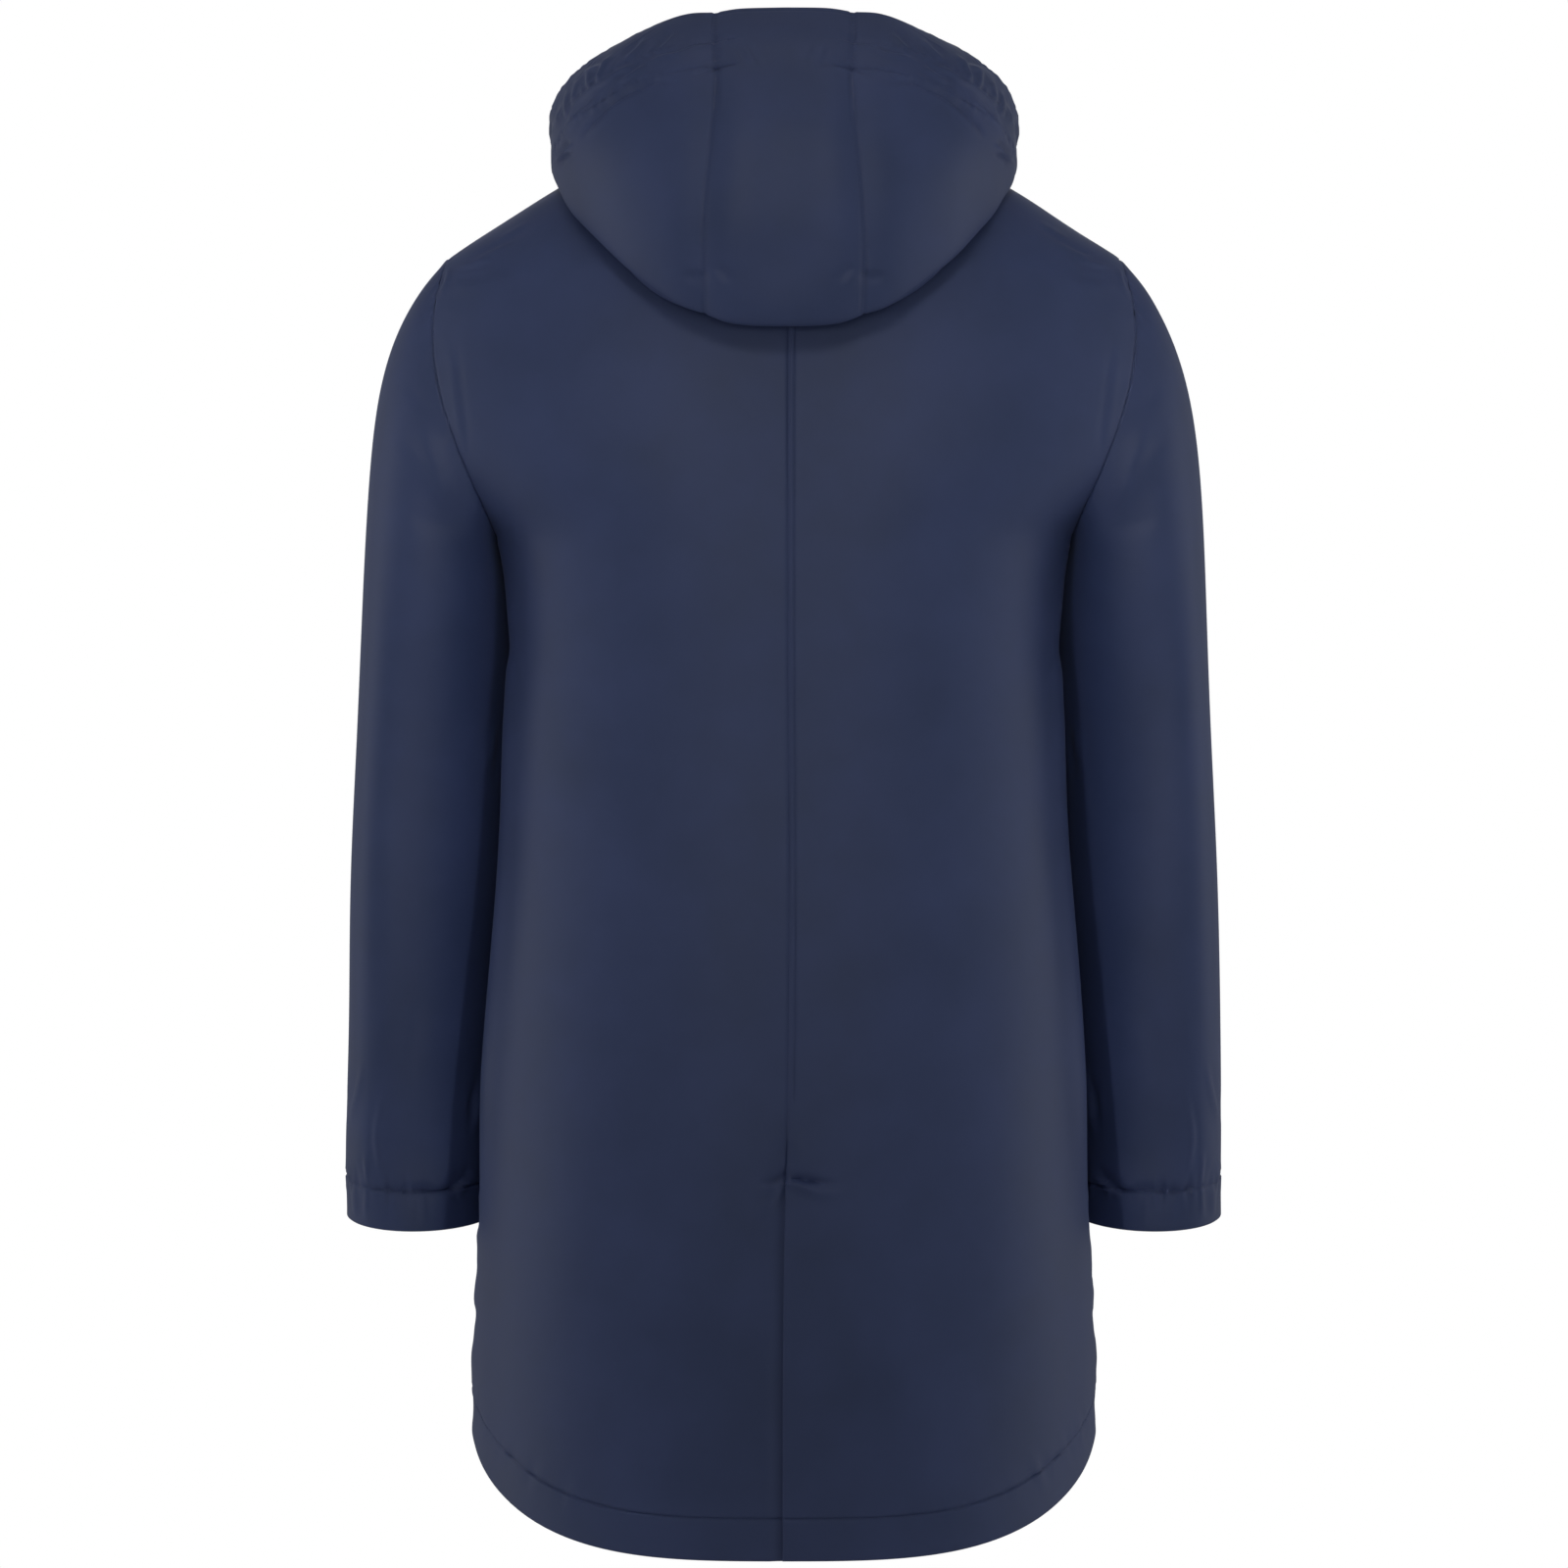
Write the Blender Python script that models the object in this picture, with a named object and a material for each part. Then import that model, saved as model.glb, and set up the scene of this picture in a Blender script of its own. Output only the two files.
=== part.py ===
"""Hooded raincoat, men's size L, in its worn shape with the hood down.

Metres, +Z up, the front faces -Y and the wearer's left is +X. The origin is the middle of the
neck opening, level with the two points where the shoulder seams meet the neckline.
All sizes below are millimetres and are scaled by MM when a mesh is made.
"""

import bmesh
import bpy
import numpy as np
from mathutils import Vector

MM = 0.001
CLOTH = 2.0          # wall of the coat: shell, membrane and seam allowances taken as one layer
SEAM = 0.3           # gap between two pieces that are sewn together
LAP_LIFT = CLOTH + 0.5   # how far an overlapping layer stands off the one below
NECK_OVAL = 2.35     # 2 makes a section an oval, more makes it squarer

# Landmarks of the coat
NECK_X = 85.0
SHOULDER_POINT = (232.0, -83.0)      # x, z
UNDERARM = (197.0, -278.0)
SIDE_HEM_Z = -892.0
NECK_Z = {"back": 0.0, "front": -60.0}
CHEST_Z = {"back": -83.0, "front": -128.0}   # centre line's height across from the shoulder point
HEM_Z = {"back": -970.0, "front": -944.0}
FRONT_OVERLAP = 30.0     # each front runs this far past the centre line
VENT_TOP_Z = -716.0
VENT_UNDERLAP = 36.0

# Half width of the body: down the shoulder seam, on behind the armhole, then down the side seam
HALF_WIDTH = {
    "z": [0, -16.5, -32, -51.5, -68.5, -83, -105, -140, -184, -218, -250, -264, -278, -292,
          -308, -325, -345, -375, -407, -463, -532, -610, -700, -787, -855, -892, -990],
    "x": [85, 122, 153, 184, 210, 232, 252, 269, 274, 260, 227, 209.5, 197, 192.4,
          190.2, 188.8, 187.8, 189.6, 191.6, 193.3, 198, 204.5, 209.5, 213, 215.3, 215.6, 214],
}
# Squareness of the body's sections, as NECK_OVAL
OVAL = {
    "z": [0, -100, -184, -278, -345, -450, -600, -990],
    "power": [NECK_OVAL, NECK_OVAL, 2.45, 2.7, 2.6, 2.5, 2.4, 2.35],
}
# Depth of the body down its centre back and centre front
CENTRE_LINE = {
    "back": {
        "z": [0, -8, -30, -60, -100, -150, -200, -278, -345, -420, -560, -740, -890, -990],
        "y": [67, 75, 92, 107, 118, 125, 128, 128, 126, 124, 127, 138, 148, 154],
    },
    "front": {
        "z": [0, -30, -60, -80, -105, -140, -200, -278, -400, -560, -740, -890, -990],
        "y": [-46, -66, -85, -95, -104, -112, -120, -128, -133, -140, -149, -156, -160],
    },
}
# Soft swells of the cloth over the back and front
SWELLS = {
    "back": {
        "x": [95, 60, 165], "z": [-190, -640, -700],
        "height": [3, 2.5, 3], "wide": [60, 45, 40], "tall": [90, 160, 190],
    },
    "front": {
        "x": [100, 75, 160], "z": [-230, -700, -660],
        "height": [3.5, 3, 2.5], "wide": [60, 42, 38], "tall": [110, 200, 180],
    },
}
# How each row sinks from its edge to the centre line: (1 - share ** power) ** root
ROW_SHAPE = {"back": (2.0, 1.0), "front": (2.0, 0.85), "hem": (3.5, 0.58)}

# Sleeve sections from the armhole to the cuff. Outer and inner are the two ends of a section seen
# from behind. centre_y and half_depth set it front to back, the bows push its back and front out
# along the sleeve, toe_in leans its front towards the body and tilt drops its back below its front.
SLEEVE = {
    "share": [0, 0.06, 0.13, 0.21, 0.3, 0.4, 0.52, 0.65, 0.78, 0.9, 1],
    "outer_x": [232, 250, 268, 280.5, 287, 291, 295.5, 300, 303, 305.5, 306],
    "outer_z": [-83, -103.5, -138, -185, -245, -315, -405, -502, -602, -688, -744],
    "inner_x": [197, 197.2, 196, 193.4, 190, 188.3, 190.6, 195, 200, 202, 202],
    "inner_z": [-278, -283, -290, -301, -324, -362, -432, -516, -606, -692, -750],
    "centre_y": [-4, -4, -4, -5, -7, -12, -18, -24, -35, -49, -58],
    "half_depth": [82, 81, 80, 79, 78, 75, 68, 62, 56, 52, 49],
    "back_bow": [20, 18, 15, 10, 5, 2, 0, 0, 0, 0, 0],
    "front_bow": [5, 6, 6, 5, 3, 1, 0, 0, 0, 0, 0],
    "toe_in": [0, 0.02, 0.05, 0.1, 0.18, 0.27, 0.33, 0.34, 0.32, 0.3, 0.3],
    "tilt": [0, 0, 0, 0, 1, 2, 3, 5, 7, 9, 11],
}
ARMHOLE_FADE = 0.25      # share of the sleeve over which it leaves the armhole's shape

# Hood, laid back: sections at angles round the neck from the centre back. Along a section the cloth
# leaves the neck seam, stands, falls, turns up at the roll, tuck and fold, bulges and ends at the
# opening. Each row below is a radius from the neck's axis and a height at each angle.
HOOD_ANGLE = [0, 20, 39, 57.5, 74, 90, 105, 120, 140, 160, 180]
HOOD_ROWS = {
    "stand": (
        [80, 81, 84, 88, 93, 97, 97, 94, 91, 90, 90],
        [14, 13, 11, 9, 7, 5, 0, -11, -31, -47, -54],
    ),
    "under": (
        [107, 110, 121, 125, 123, 124, 119, 114, 106, 99, 96],
        [-8, -9, -3, -1, -3, -4, -11, -23, -41, -56, -63],
    ),
    "roll": (
        [143, 148, 161, 164, 152, 147, 145, 138, 119, 108, 102],
        [-133, -130, -102, -51, -27, -20, -30, -45, -60, -72, -76],
    ),
    "tuck": (
        [149.5, 154.5, 166, 167, 156.5, 152, 149, 141, 122, 111, 105],
        [-135.5, -129, -96, -53.5, -29.5, -21.5, -30.5, -45.5, -61, -73, -77],
    ),
    "fold": (
        [156, 160.5, 170.5, 170, 161, 157, 153, 145, 126, 114, 108],
        [-139, -132, -97, -57, -33, -23, -31, -46, -61, -72.5, -76.5],
    ),
    "low": (
        [176, 180, 184, 177, 166, 160, 158, 149, 131, 120, 114],
        [-85, -81, -55, -27, -13, -7, -24, -38, -55, -66, -71],
    ),
    "high": (
        [172, 174, 176, 170, 163, 162, 162, 151, 133, 122, 116],
        [0, 2, 7, 12, 13, 9, -16, -31, -45, -55, -61],
    ),
    "crest": (
        [141, 146, 152, 154, 156, 162.5, 164, 150.5, 131, 120, 114],
        [52, 51, 49, 43, 32, 17, -10, -22, -35, -44, -51],
    ),
    "edge": (
        [99, 104, 117, 134, 147.5, 161.5, 165.5, 149, 127, 116, 110],
        [82.5, 81.5, 76, 60, 46, 23, -4, -14, -27, -36, -43],
    ),
}
# Shares of the way along the hood for the neck seam and each row, and the centre panel's edge there
HOOD_ALONG = [0, 0.045, 0.13, 0.38, 0.41, 0.44, 0.55, 0.73, 0.88, 1]
HOOD_SEAM_ANGLE = [28, 28, 26.5, 21, 20.3, 19.5, 17.6, 17.4, 20.4, 28]
HOOD_FRONT_ANGLE = 178.0

SNAP_RADIUS = 7.5
SNAP_HEIGHT = 2.2
SNAP_COUNT = 6
SNAP_TOP_Z = -96.0
SNAP_PITCH = 118.0
SNAP_SIDES = 20

# Grid steps of the pieces
BODY_COLUMNS = 8
SHOULDER_ROWS = 5
ARMHOLE_ROWS = 9
UPPER_SIDE_ROWS = 9
VENT_ROWS = 5
SLEEVE_SIDES = 18
SLEEVE_ROWS = 18
HOOD_STEPS = [1, 2, 5, 1, 1, 3, 4, 4, 3]     # between one row of the hood and the next
HOOD_CENTRE_COLUMNS = 5
HOOD_SIDE_COLUMNS = [6, 11]      # behind the shoulder line and before it

CLOTH_LOOK = {"name": "navy_coated_cloth", "colour": (0.029, 0.036, 0.078, 1), "roughness": 0.5}
SNAP_LOOK = {"name": "navy_snap_cap", "colour": (0.022, 0.026, 0.05, 1), "roughness": 0.35}


def curve(knots, values, at):
    """Natural cubic spline through the values at rising knots, read at any array of places."""
    knots, values, at = (np.asarray(numbers, float) for numbers in (knots, values, at))
    gap = np.diff(knots)
    system = np.eye(len(knots))
    bend = np.zeros(len(knots))
    for i in range(1, len(knots) - 1):
        system[i, i - 1 : i + 2] = gap[i - 1], 2 * (gap[i - 1] + gap[i]), gap[i]
        bend[i] = 6 * ((values[i + 1] - values[i]) / gap[i] - (values[i] - values[i - 1]) / gap[i - 1])
    bend = np.linalg.solve(system, bend)
    i = np.clip(np.searchsorted(knots, at) - 1, 0, len(knots) - 2)
    after = (at - knots[i]) / gap[i]
    before = 1 - after
    sag = gap[i] ** 2 / 6 * ((before**3 - before) * bend[i] + (after**3 - after) * bend[i + 1])
    return before * values[i] + after * values[i + 1] + sag


def at_height(table, column, z):
    """A column of a table whose heights run downwards, read at height z."""
    return curve(-np.array(table["z"], float), table[column], -np.asarray(z, float))


def smooth(low, high, x):
    """0 below low, 1 above high and an S curve between them."""
    share = np.clip((np.asarray(x, float) - low) / (high - low), 0, 1)
    return share * share * (3 - 2 * share)


def centre_depth(face, x, z):
    depth = at_height(CENTRE_LINE[face], "y", z)
    swells = SWELLS[face]
    for i in range(len(swells["x"])):
        sideways = (np.abs(x) - swells["x"][i]) / swells["wide"][i]
        upwards = (z - swells["z"][i]) / swells["tall"][i]
        depth = depth + np.sign(depth) * swells["height"][i] * np.exp(-(sideways**2) - upwards**2)
    return depth


def body_depth(face, x, z):
    """Depth of the body's outer face at x and height z. It is 0 along the shoulder and side seams."""
    share = np.clip(np.abs(x) / at_height(HALF_WIDTH, "x", z), 0, 1)
    power = at_height(OVAL, "power", z)
    return centre_depth(face, x, z) * (1 - share**power) ** (1 / power)


def flat_lift(x, z):
    return np.zeros(np.broadcast(x, z).shape)


def lap_lift(x, z):
    """The left front's edge stands forward of the right front below it."""
    return -LAP_LIFT * (1 - smooth(FRONT_OVERLAP + 4, FRONT_OVERLAP + 16, x)) + 0 * z


def vent_lift(x, z):
    """Beside the vent the left back dips under the right one."""
    beside = 1 - smooth(1, 13, x)
    below = 1 - smooth(VENT_TOP_Z - 2, VENT_TOP_Z + 14, z)
    return -LAP_LIFT * beside * below


def body_normal(face, points, lift, step=0.01):
    """Unit normals of the body's outer face, as the gradient of its section's equation."""

    def fullness(x, y, z):
        wide = np.abs(x) / at_height(HALF_WIDTH, "x", z)
        deep = np.abs((y - lift(x, z)) / centre_depth(face, x, z))
        power = at_height(OVAL, "power", z)
        return wide**power + deep**power

    slopes = []
    for axis in np.eye(3) * step:
        ahead = fullness(*np.moveaxis(points + axis, -1, 0))
        behind = fullness(*np.moveaxis(points - axis, -1, 0))
        slopes.append(ahead - behind)
    normal = np.stack(slopes, -1)
    return normal / np.linalg.norm(normal, axis=-1, keepdims=True)


def armhole_point(around):
    """The armhole seam at angles round it: 0 at the shoulder point, 90 degrees at the back and 180
    at the underarm."""
    top, bottom = np.array(SHOULDER_POINT), np.array(UNDERARM)
    half = (top - bottom) / 2
    forward = np.array([half[1], -half[0]]) / np.linalg.norm(half)
    sine, cosine = np.sin(around), np.cos(around)
    bow = np.where(sine > 0, SLEEVE["back_bow"][0], SLEEVE["front_bow"][0]) * sine**2 * (1 + 0.4 * cosine)
    x, z = ((top + bottom) / 2)[:, None] + half[:, None] * cosine.ravel() + forward[:, None] * bow.ravel()
    x, z = x.reshape(cosine.shape), z.reshape(cosine.shape)
    y = np.where(sine > 0, body_depth("back", x, z), body_depth("front", x, z))
    return np.stack([x, y, z], -1)


def sleeve_point(around, share):
    """The left sleeve's outer face at angles round its section and shares of its length."""
    around, share = np.broadcast_arrays(np.asarray(around, float), np.asarray(share, float))
    at = {name: curve(SLEEVE["share"], SLEEVE[name], share) for name in SLEEVE if name != "share"}
    half = np.stack([at["outer_x"] - at["inner_x"], at["outer_z"] - at["inner_z"]], -1) / 2
    middle = np.stack([at["outer_x"] + at["inner_x"], at["outer_z"] + at["inner_z"]], -1) / 2
    length = np.linalg.norm(half, axis=-1)
    forward = np.stack([half[..., 1], -half[..., 0]], -1) / length[..., None]
    sine, cosine = np.sin(around), np.cos(around)
    lean = at["toe_in"] * at["half_depth"]
    reach = cosine * np.sqrt(1 - (lean / length) ** 2)
    bow = np.where(sine > 0, at["back_bow"], at["front_bow"]) * sine**2 * (1 + 0.4 * cosine)
    flat = middle + half * reach[..., None] + forward * bow[..., None]
    depth = at["centre_y"] + at["half_depth"] * sine
    at_seam = SLEEVE["centre_y"][0] + SLEEVE["half_depth"][0] * sine
    depth = depth + (armhole_point(around)[..., 1] - at_seam) * (1 - smooth(0, ARMHOLE_FADE, share))
    return np.stack([flat[..., 0] + lean * sine, depth, flat[..., 1] - at["tilt"] * sine], -1)


def surface_normal(surface, first, second, step=1e-4):
    """Unit normals of surface(first, second), from the cross product of its two directions."""
    along_first = surface(first + step, second) - surface(first - step, second)
    along_second = surface(first, second + step) - surface(first, second - step)
    normal = np.cross(along_second, along_first)
    return normal / np.linalg.norm(normal, axis=-1, keepdims=True)


def armhole_normal(around):
    """The direction that a panel and the sleeve share along their seam, half way between both."""
    point = armhole_point(around)
    is_back = (np.sin(around) > 0)[..., None]
    body = np.where(is_back, body_normal("back", point, flat_lift), body_normal("front", point, flat_lift))
    sleeve = surface_normal(sleeve_point, around, np.full(np.shape(around), 1e-3))
    both = body + sleeve
    return both / np.linalg.norm(both, axis=-1, keepdims=True)


def row_edge(face, row):
    """Ends of the body's rows. Rows 0 to 1 run from the shoulder seam, 1 to 2 from the armhole and
    2 to 3 from the side seam: the edge's x and z, and the height at the centre line."""
    shoulder, armhole, side = np.clip(row, 0, 1), np.clip(row - 1, 0, 1), np.clip(row - 2, 0, 1)
    loop = armhole_point(np.pi * armhole * (1 if face == "back" else -1))
    side_z = UNDERARM[1] + (SIDE_HEM_Z - UNDERARM[1]) * side
    seam_z = np.where(row <= 1, SHOULDER_POINT[1] * shoulder, side_z)
    on_armhole = (row > 1) & (row < 2)
    x = np.where(on_armhole, loop[..., 0], at_height(HALF_WIDTH, "x", seam_z))
    z = np.where(on_armhole, loop[..., 2], seam_z)
    centre = NECK_Z[face] + (CHEST_Z[face] - NECK_Z[face]) * shoulder
    centre = centre + (UNDERARM[1] - CHEST_Z[face]) * armhole + (HEM_Z[face] - UNDERARM[1]) * side
    return x, z, centre


def body_point(face, row, across, start, lift):
    """The left half of the front or back. across runs from 0 at start, a distance past the centre
    line, to 1 at the seam. Where across is 0, start is the place itself."""
    row, across, start = np.broadcast_arrays(*(np.asarray(part, float) for part in (row, across, start)))
    edge_x, edge_z, centre_z = row_edge(face, row)
    turn = np.arcsin(np.clip(edge_x / at_height(HALF_WIDTH, "x", edge_z), 0, 1) ** (NECK_OVAL / 2))
    x = start + (edge_x - start) * np.sin(across * turn) / np.sin(turn)
    share = np.clip(np.abs(x) / edge_x, 0, 1)
    power, root = (np.where(row > 2, ROW_SHAPE["hem"][i], ROW_SHAPE[face][i]) for i in range(2))
    z = edge_z + (centre_z - edge_z) * (1 - share**power) ** root
    return np.stack([x, body_depth(face, x, z) + lift(x, z), z], -1)


def neck_line(turned):
    """The neckline at angles from the centre back, 0 to 180 degrees."""
    is_back = turned <= 90
    share = np.abs(np.sin(np.radians(turned))) ** (2 / NECK_OVAL)
    x = NECK_X * share
    power, root = ROW_SHAPE["front"]
    z = np.where(is_back, NECK_Z["back"], NECK_Z["front"] * (1 - np.clip(share, 0, 1) ** power) ** root)
    y = np.where(is_back, body_depth("back", x, z), body_depth("front", x, z))
    return np.stack([x, y, z], -1)


def hood_point(angle, along):
    """The hood's outer face, at degrees from the centre back and shares of the way from the neck seam
    to the opening."""
    angle, along = np.broadcast_arrays(np.asarray(angle, float), np.asarray(along, float))
    turned = np.abs(angle)
    sideways, backwards = np.sin(np.radians(turned)), np.cos(np.radians(turned))
    rows = [neck_line(turned) + [0, 0, SEAM]]
    mirror = slice(2, 0, -1)     # two knots past the centre back keep the sections level there
    knots = [-knot for knot in HOOD_ANGLE[mirror]] + HOOD_ANGLE
    for radii, heights in HOOD_ROWS.values():
        radius = curve(knots, radii[mirror] + radii, turned)
        height = curve(knots, heights[mirror] + heights, turned)
        rows.append(np.stack([radius * sideways, radius * backwards, height], -1))
    point = np.zeros(rows[0].shape)
    for row, alone in zip(rows, np.eye(len(rows))):
        point += row * curve(HOOD_ALONG, alone, along)[..., None]
    point[..., 0] *= np.where(angle < 0, -1, 1)
    return point


def material_of(look):
    found = bpy.data.materials.get(look["name"])
    if found:
        return found
    made = bpy.data.materials.new(look["name"])
    made.use_nodes = True
    shader = made.node_tree.nodes["Principled BSDF"]
    shader.inputs["Base Color"].default_value = look["colour"]
    shader.inputs["Roughness"].default_value = look["roughness"]
    shader.inputs["Metallic"].default_value = 0
    return made


def add_object(name, build, look):
    mesh = bpy.data.meshes.new(name)
    build.to_mesh(mesh)
    build.free()
    mesh.shade_smooth()
    mesh.set_sharp_from_angle(angle=np.radians(40))
    mesh.materials.append(material_of(look))
    made = bpy.data.objects.new(name, mesh)
    bpy.context.scene.collection.objects.link(made)
    return made


def drawn_in(outer, normal, column, neighbour):
    """The grid with one edge column moved half a seam's gap towards its neighbour, square to the edge."""
    edge = outer[:, column]
    along = np.gradient(edge, axis=0)
    along /= np.linalg.norm(along, axis=-1, keepdims=True)
    inward = outer[:, neighbour] - edge
    for direction in (along, normal[:, column]):
        inward = inward - direction * np.sum(inward * direction, axis=-1, keepdims=True)
    moved = outer.copy()
    moved[:, column] += inward / np.linalg.norm(inward, axis=-1, keepdims=True) * SEAM / 2
    return moved


def add_wall(name, outer, normal, kept=None, is_tube=False):
    """One cloth piece: its outer grid, the same grid a wall further in, and the edges between them.
    kept is False for the cells left out, and in a tube the last column meets the first."""
    rows, columns = outer.shape[:2]
    spans = columns if is_tube else columns - 1
    kept = np.ones((rows - 1, spans), bool) if kept is None else kept
    layers = {"outer": outer, "inner": outer - normal * CLOTH}
    build = bmesh.new()
    made = {}

    def vert(layer, i, j):
        key = layer, i, j % columns
        if key not in made:
            made[key] = build.verts.new(layers[layer][i, j % columns] * MM)
        return made[key]

    def is_kept(i, j):
        j = j % spans if is_tube else j
        return 0 <= i < rows - 1 and 0 <= j < spans and kept[i, j]

    for i, j in zip(*np.nonzero(kept)):
        ring = [(i, j), (i + 1, j), (i + 1, j + 1), (i, j + 1)]
        build.faces.new([vert("outer", *corner) for corner in ring])
        build.faces.new([vert("inner", *corner) for corner in ring[::-1]])
        for side, beside in enumerate([(i, j - 1), (i + 1, j), (i, j + 1), (i - 1, j)]):
            if not is_kept(*beside):
                near, far = ring[side], ring[(side + 1) % 4]
                strip = [("outer", *far), ("outer", *near), ("inner", *near), ("inner", *far)]
                # Two pieces along one seam split their edge faces the same way, so they stay apart.
                turn = 1 if near < far else 0
                build.faces.new([vert(*corner) for corner in strip[turn:] + strip[:turn]])
    bmesh.ops.recalc_face_normals(build, faces=build.faces)
    return add_object(name, build, CLOTH_LOOK)


def mirrored(vectors, is_left):
    return vectors * [1 if is_left else -1, 1, 1]


def body_rows():
    vent_row = 2 + (VENT_TOP_Z - UNDERARM[1]) / (HEM_Z["back"] - UNDERARM[1])
    return np.concatenate([
        np.linspace(0, 1, SHOULDER_ROWS, endpoint=False),
        np.linspace(1, 2, ARMHOLE_ROWS, endpoint=False),
        np.linspace(2, vent_row, UPPER_SIDE_ROWS, endpoint=False),
        np.linspace(vent_row, 3, VENT_ROWS + 1),
    ])


def add_body_panel(name, face, is_left, lift, near_columns, vent_columns=0):
    """A front or back panel. near_columns are the places of its columns by the centre line, and the
    first vent_columns of the spaces between them are only there below the top of the vent."""
    rows = body_rows()
    spread = np.arange(1, BODY_COLUMNS + 1) / BODY_COLUMNS
    across = np.concatenate([np.zeros(len(near_columns)), spread])
    start = np.concatenate([near_columns, np.full(BODY_COLUMNS, near_columns[-1])])
    outer = body_point(face, rows[:, None], across, start, lift)
    normal = body_normal(face, outer, lift)
    armhole = (rows >= 1) & (rows <= 2)
    normal[armhole, -1] = armhole_normal(np.pi * (rows[armhole] - 1) * (1 if face == "back" else -1))
    outer = drawn_in(outer, normal, -1, -2)
    kept = np.ones((len(rows) - 1, len(across) - 1), bool)
    kept[rows[:-1] < rows[-VENT_ROWS - 1], :vent_columns] = False
    return add_wall(name, mirrored(outer, is_left), mirrored(normal, is_left), kept)


def add_sleeve(name, is_left):
    around = np.arange(SLEEVE_SIDES) * 2 * np.pi / SLEEVE_SIDES
    share = np.linspace(0, 1, SLEEVE_ROWS + 1)[:, None] ** 1.3
    outer = sleeve_point(around, share)
    inside = np.clip(share, 1e-3, 1 - 1e-3)
    around, inside = np.broadcast_arrays(around, inside)
    normal = surface_normal(sleeve_point, around, inside)
    normal[0] = armhole_normal(around[0])
    ring = np.swapaxes(outer, 0, 1), np.swapaxes(normal, 0, 1)
    outer = np.swapaxes(drawn_in(*ring, 0, 1), 0, 1)
    return add_wall(name, mirrored(outer, is_left), mirrored(normal, is_left), is_tube=True)


def hood_rows():
    """Shares of the hood's sections for its rows, and the seam's angle at each."""
    spans = zip(HOOD_ALONG[:-1], HOOD_ALONG[1:], HOOD_STEPS)
    parts = [np.linspace(low, high, steps, endpoint=False) for low, high, steps in spans]
    along = np.concatenate([*parts, [1]])[:, None]
    return along, curve(HOOD_ALONG, HOOD_SEAM_ANGLE, along)


def add_hood_centre(name):
    along, seam = hood_rows()
    angle = seam * np.linspace(-1, 1, HOOD_CENTRE_COLUMNS + 1)
    along = along + 0 * angle
    outer = hood_point(angle, along)
    normal = surface_normal(hood_point, angle, along)
    for edge, neighbour in ((0, 1), (-1, -2)):
        outer = drawn_in(outer, normal, edge, neighbour)
    return add_wall(name, outer, normal)


def add_hood_side(name, is_left):
    along, seam = hood_rows()
    behind, before = HOOD_SIDE_COLUMNS
    angle = np.concatenate([
        seam + (90 - seam) * np.linspace(0, 1, behind, endpoint=False),
        90 + (HOOD_FRONT_ANGLE - 90) * np.linspace(0, 1, before + 1) + 0 * seam,
    ], axis=1)
    along = along + 0 * angle
    normal = surface_normal(hood_point, angle, along)
    outer = drawn_in(hood_point(angle, along), normal, 0, 1)
    return add_wall(name, mirrored(outer, is_left), mirrored(normal, is_left))


def add_snap(name, z):
    """A press-stud cap on the left front, square to the cloth at the centre line."""
    place = np.array([0, float(body_depth("front", 0, z) + lap_lift(0, z)), z])
    normal = body_normal("front", place, lap_lift)
    build = bmesh.new()
    bmesh.ops.create_cone(
        build, cap_ends=True, segments=SNAP_SIDES,
        radius1=SNAP_RADIUS * MM, radius2=SNAP_RADIUS * 0.8 * MM, depth=SNAP_HEIGHT * MM,
    )
    made = add_object(name, build, SNAP_LOOK)
    made.location = Vector((place + normal * (SEAM + SNAP_HEIGHT / 2)) * MM)
    made.rotation_euler = Vector(normal).to_track_quat("Z", "Y").to_euler()
    return made


def main():
    for old in list(bpy.data.objects):
        bpy.data.objects.remove(old, do_unlink=True)
    centre = SEAM / 2
    half_lap = VENT_UNDERLAP / 2
    underlap = [-VENT_UNDERLAP, -half_lap, centre, half_lap]
    add_body_panel("back_left", "back", True, vent_lift, underlap, vent_columns=2)
    add_body_panel("back_right", "back", False, flat_lift, [centre, half_lap, VENT_UNDERLAP])
    lap = np.linspace(-FRONT_OVERLAP, FRONT_OVERLAP, 5)
    add_body_panel("front_left", "front", True, lap_lift, [*lap, FRONT_OVERLAP + 4, FRONT_OVERLAP + 16])
    add_body_panel("front_right", "front", False, flat_lift, lap)
    add_sleeve("sleeve_left", True)
    add_sleeve("sleeve_right", False)
    add_hood_centre("hood_centre")
    add_hood_side("hood_side_left", True)
    add_hood_side("hood_side_right", False)
    for i in range(SNAP_COUNT):
        add_snap(f"snap_{i + 1}", SNAP_TOP_Z - SNAP_PITCH * i)


main()
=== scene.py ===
import math
import bmesh
import bpy
import numpy as np
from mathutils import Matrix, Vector


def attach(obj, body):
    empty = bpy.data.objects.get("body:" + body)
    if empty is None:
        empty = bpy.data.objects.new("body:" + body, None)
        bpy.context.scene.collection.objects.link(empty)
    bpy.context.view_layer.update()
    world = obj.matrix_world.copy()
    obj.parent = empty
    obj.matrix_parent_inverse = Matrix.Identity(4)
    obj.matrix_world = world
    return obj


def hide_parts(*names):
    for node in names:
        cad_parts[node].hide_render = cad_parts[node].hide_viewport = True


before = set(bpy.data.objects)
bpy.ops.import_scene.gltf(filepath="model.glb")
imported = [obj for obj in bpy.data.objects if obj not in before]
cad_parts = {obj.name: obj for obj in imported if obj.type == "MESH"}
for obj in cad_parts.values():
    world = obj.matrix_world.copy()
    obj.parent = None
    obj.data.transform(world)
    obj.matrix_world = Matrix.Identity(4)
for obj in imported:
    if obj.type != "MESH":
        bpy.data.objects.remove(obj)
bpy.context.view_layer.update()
print("frame loaded")

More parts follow.
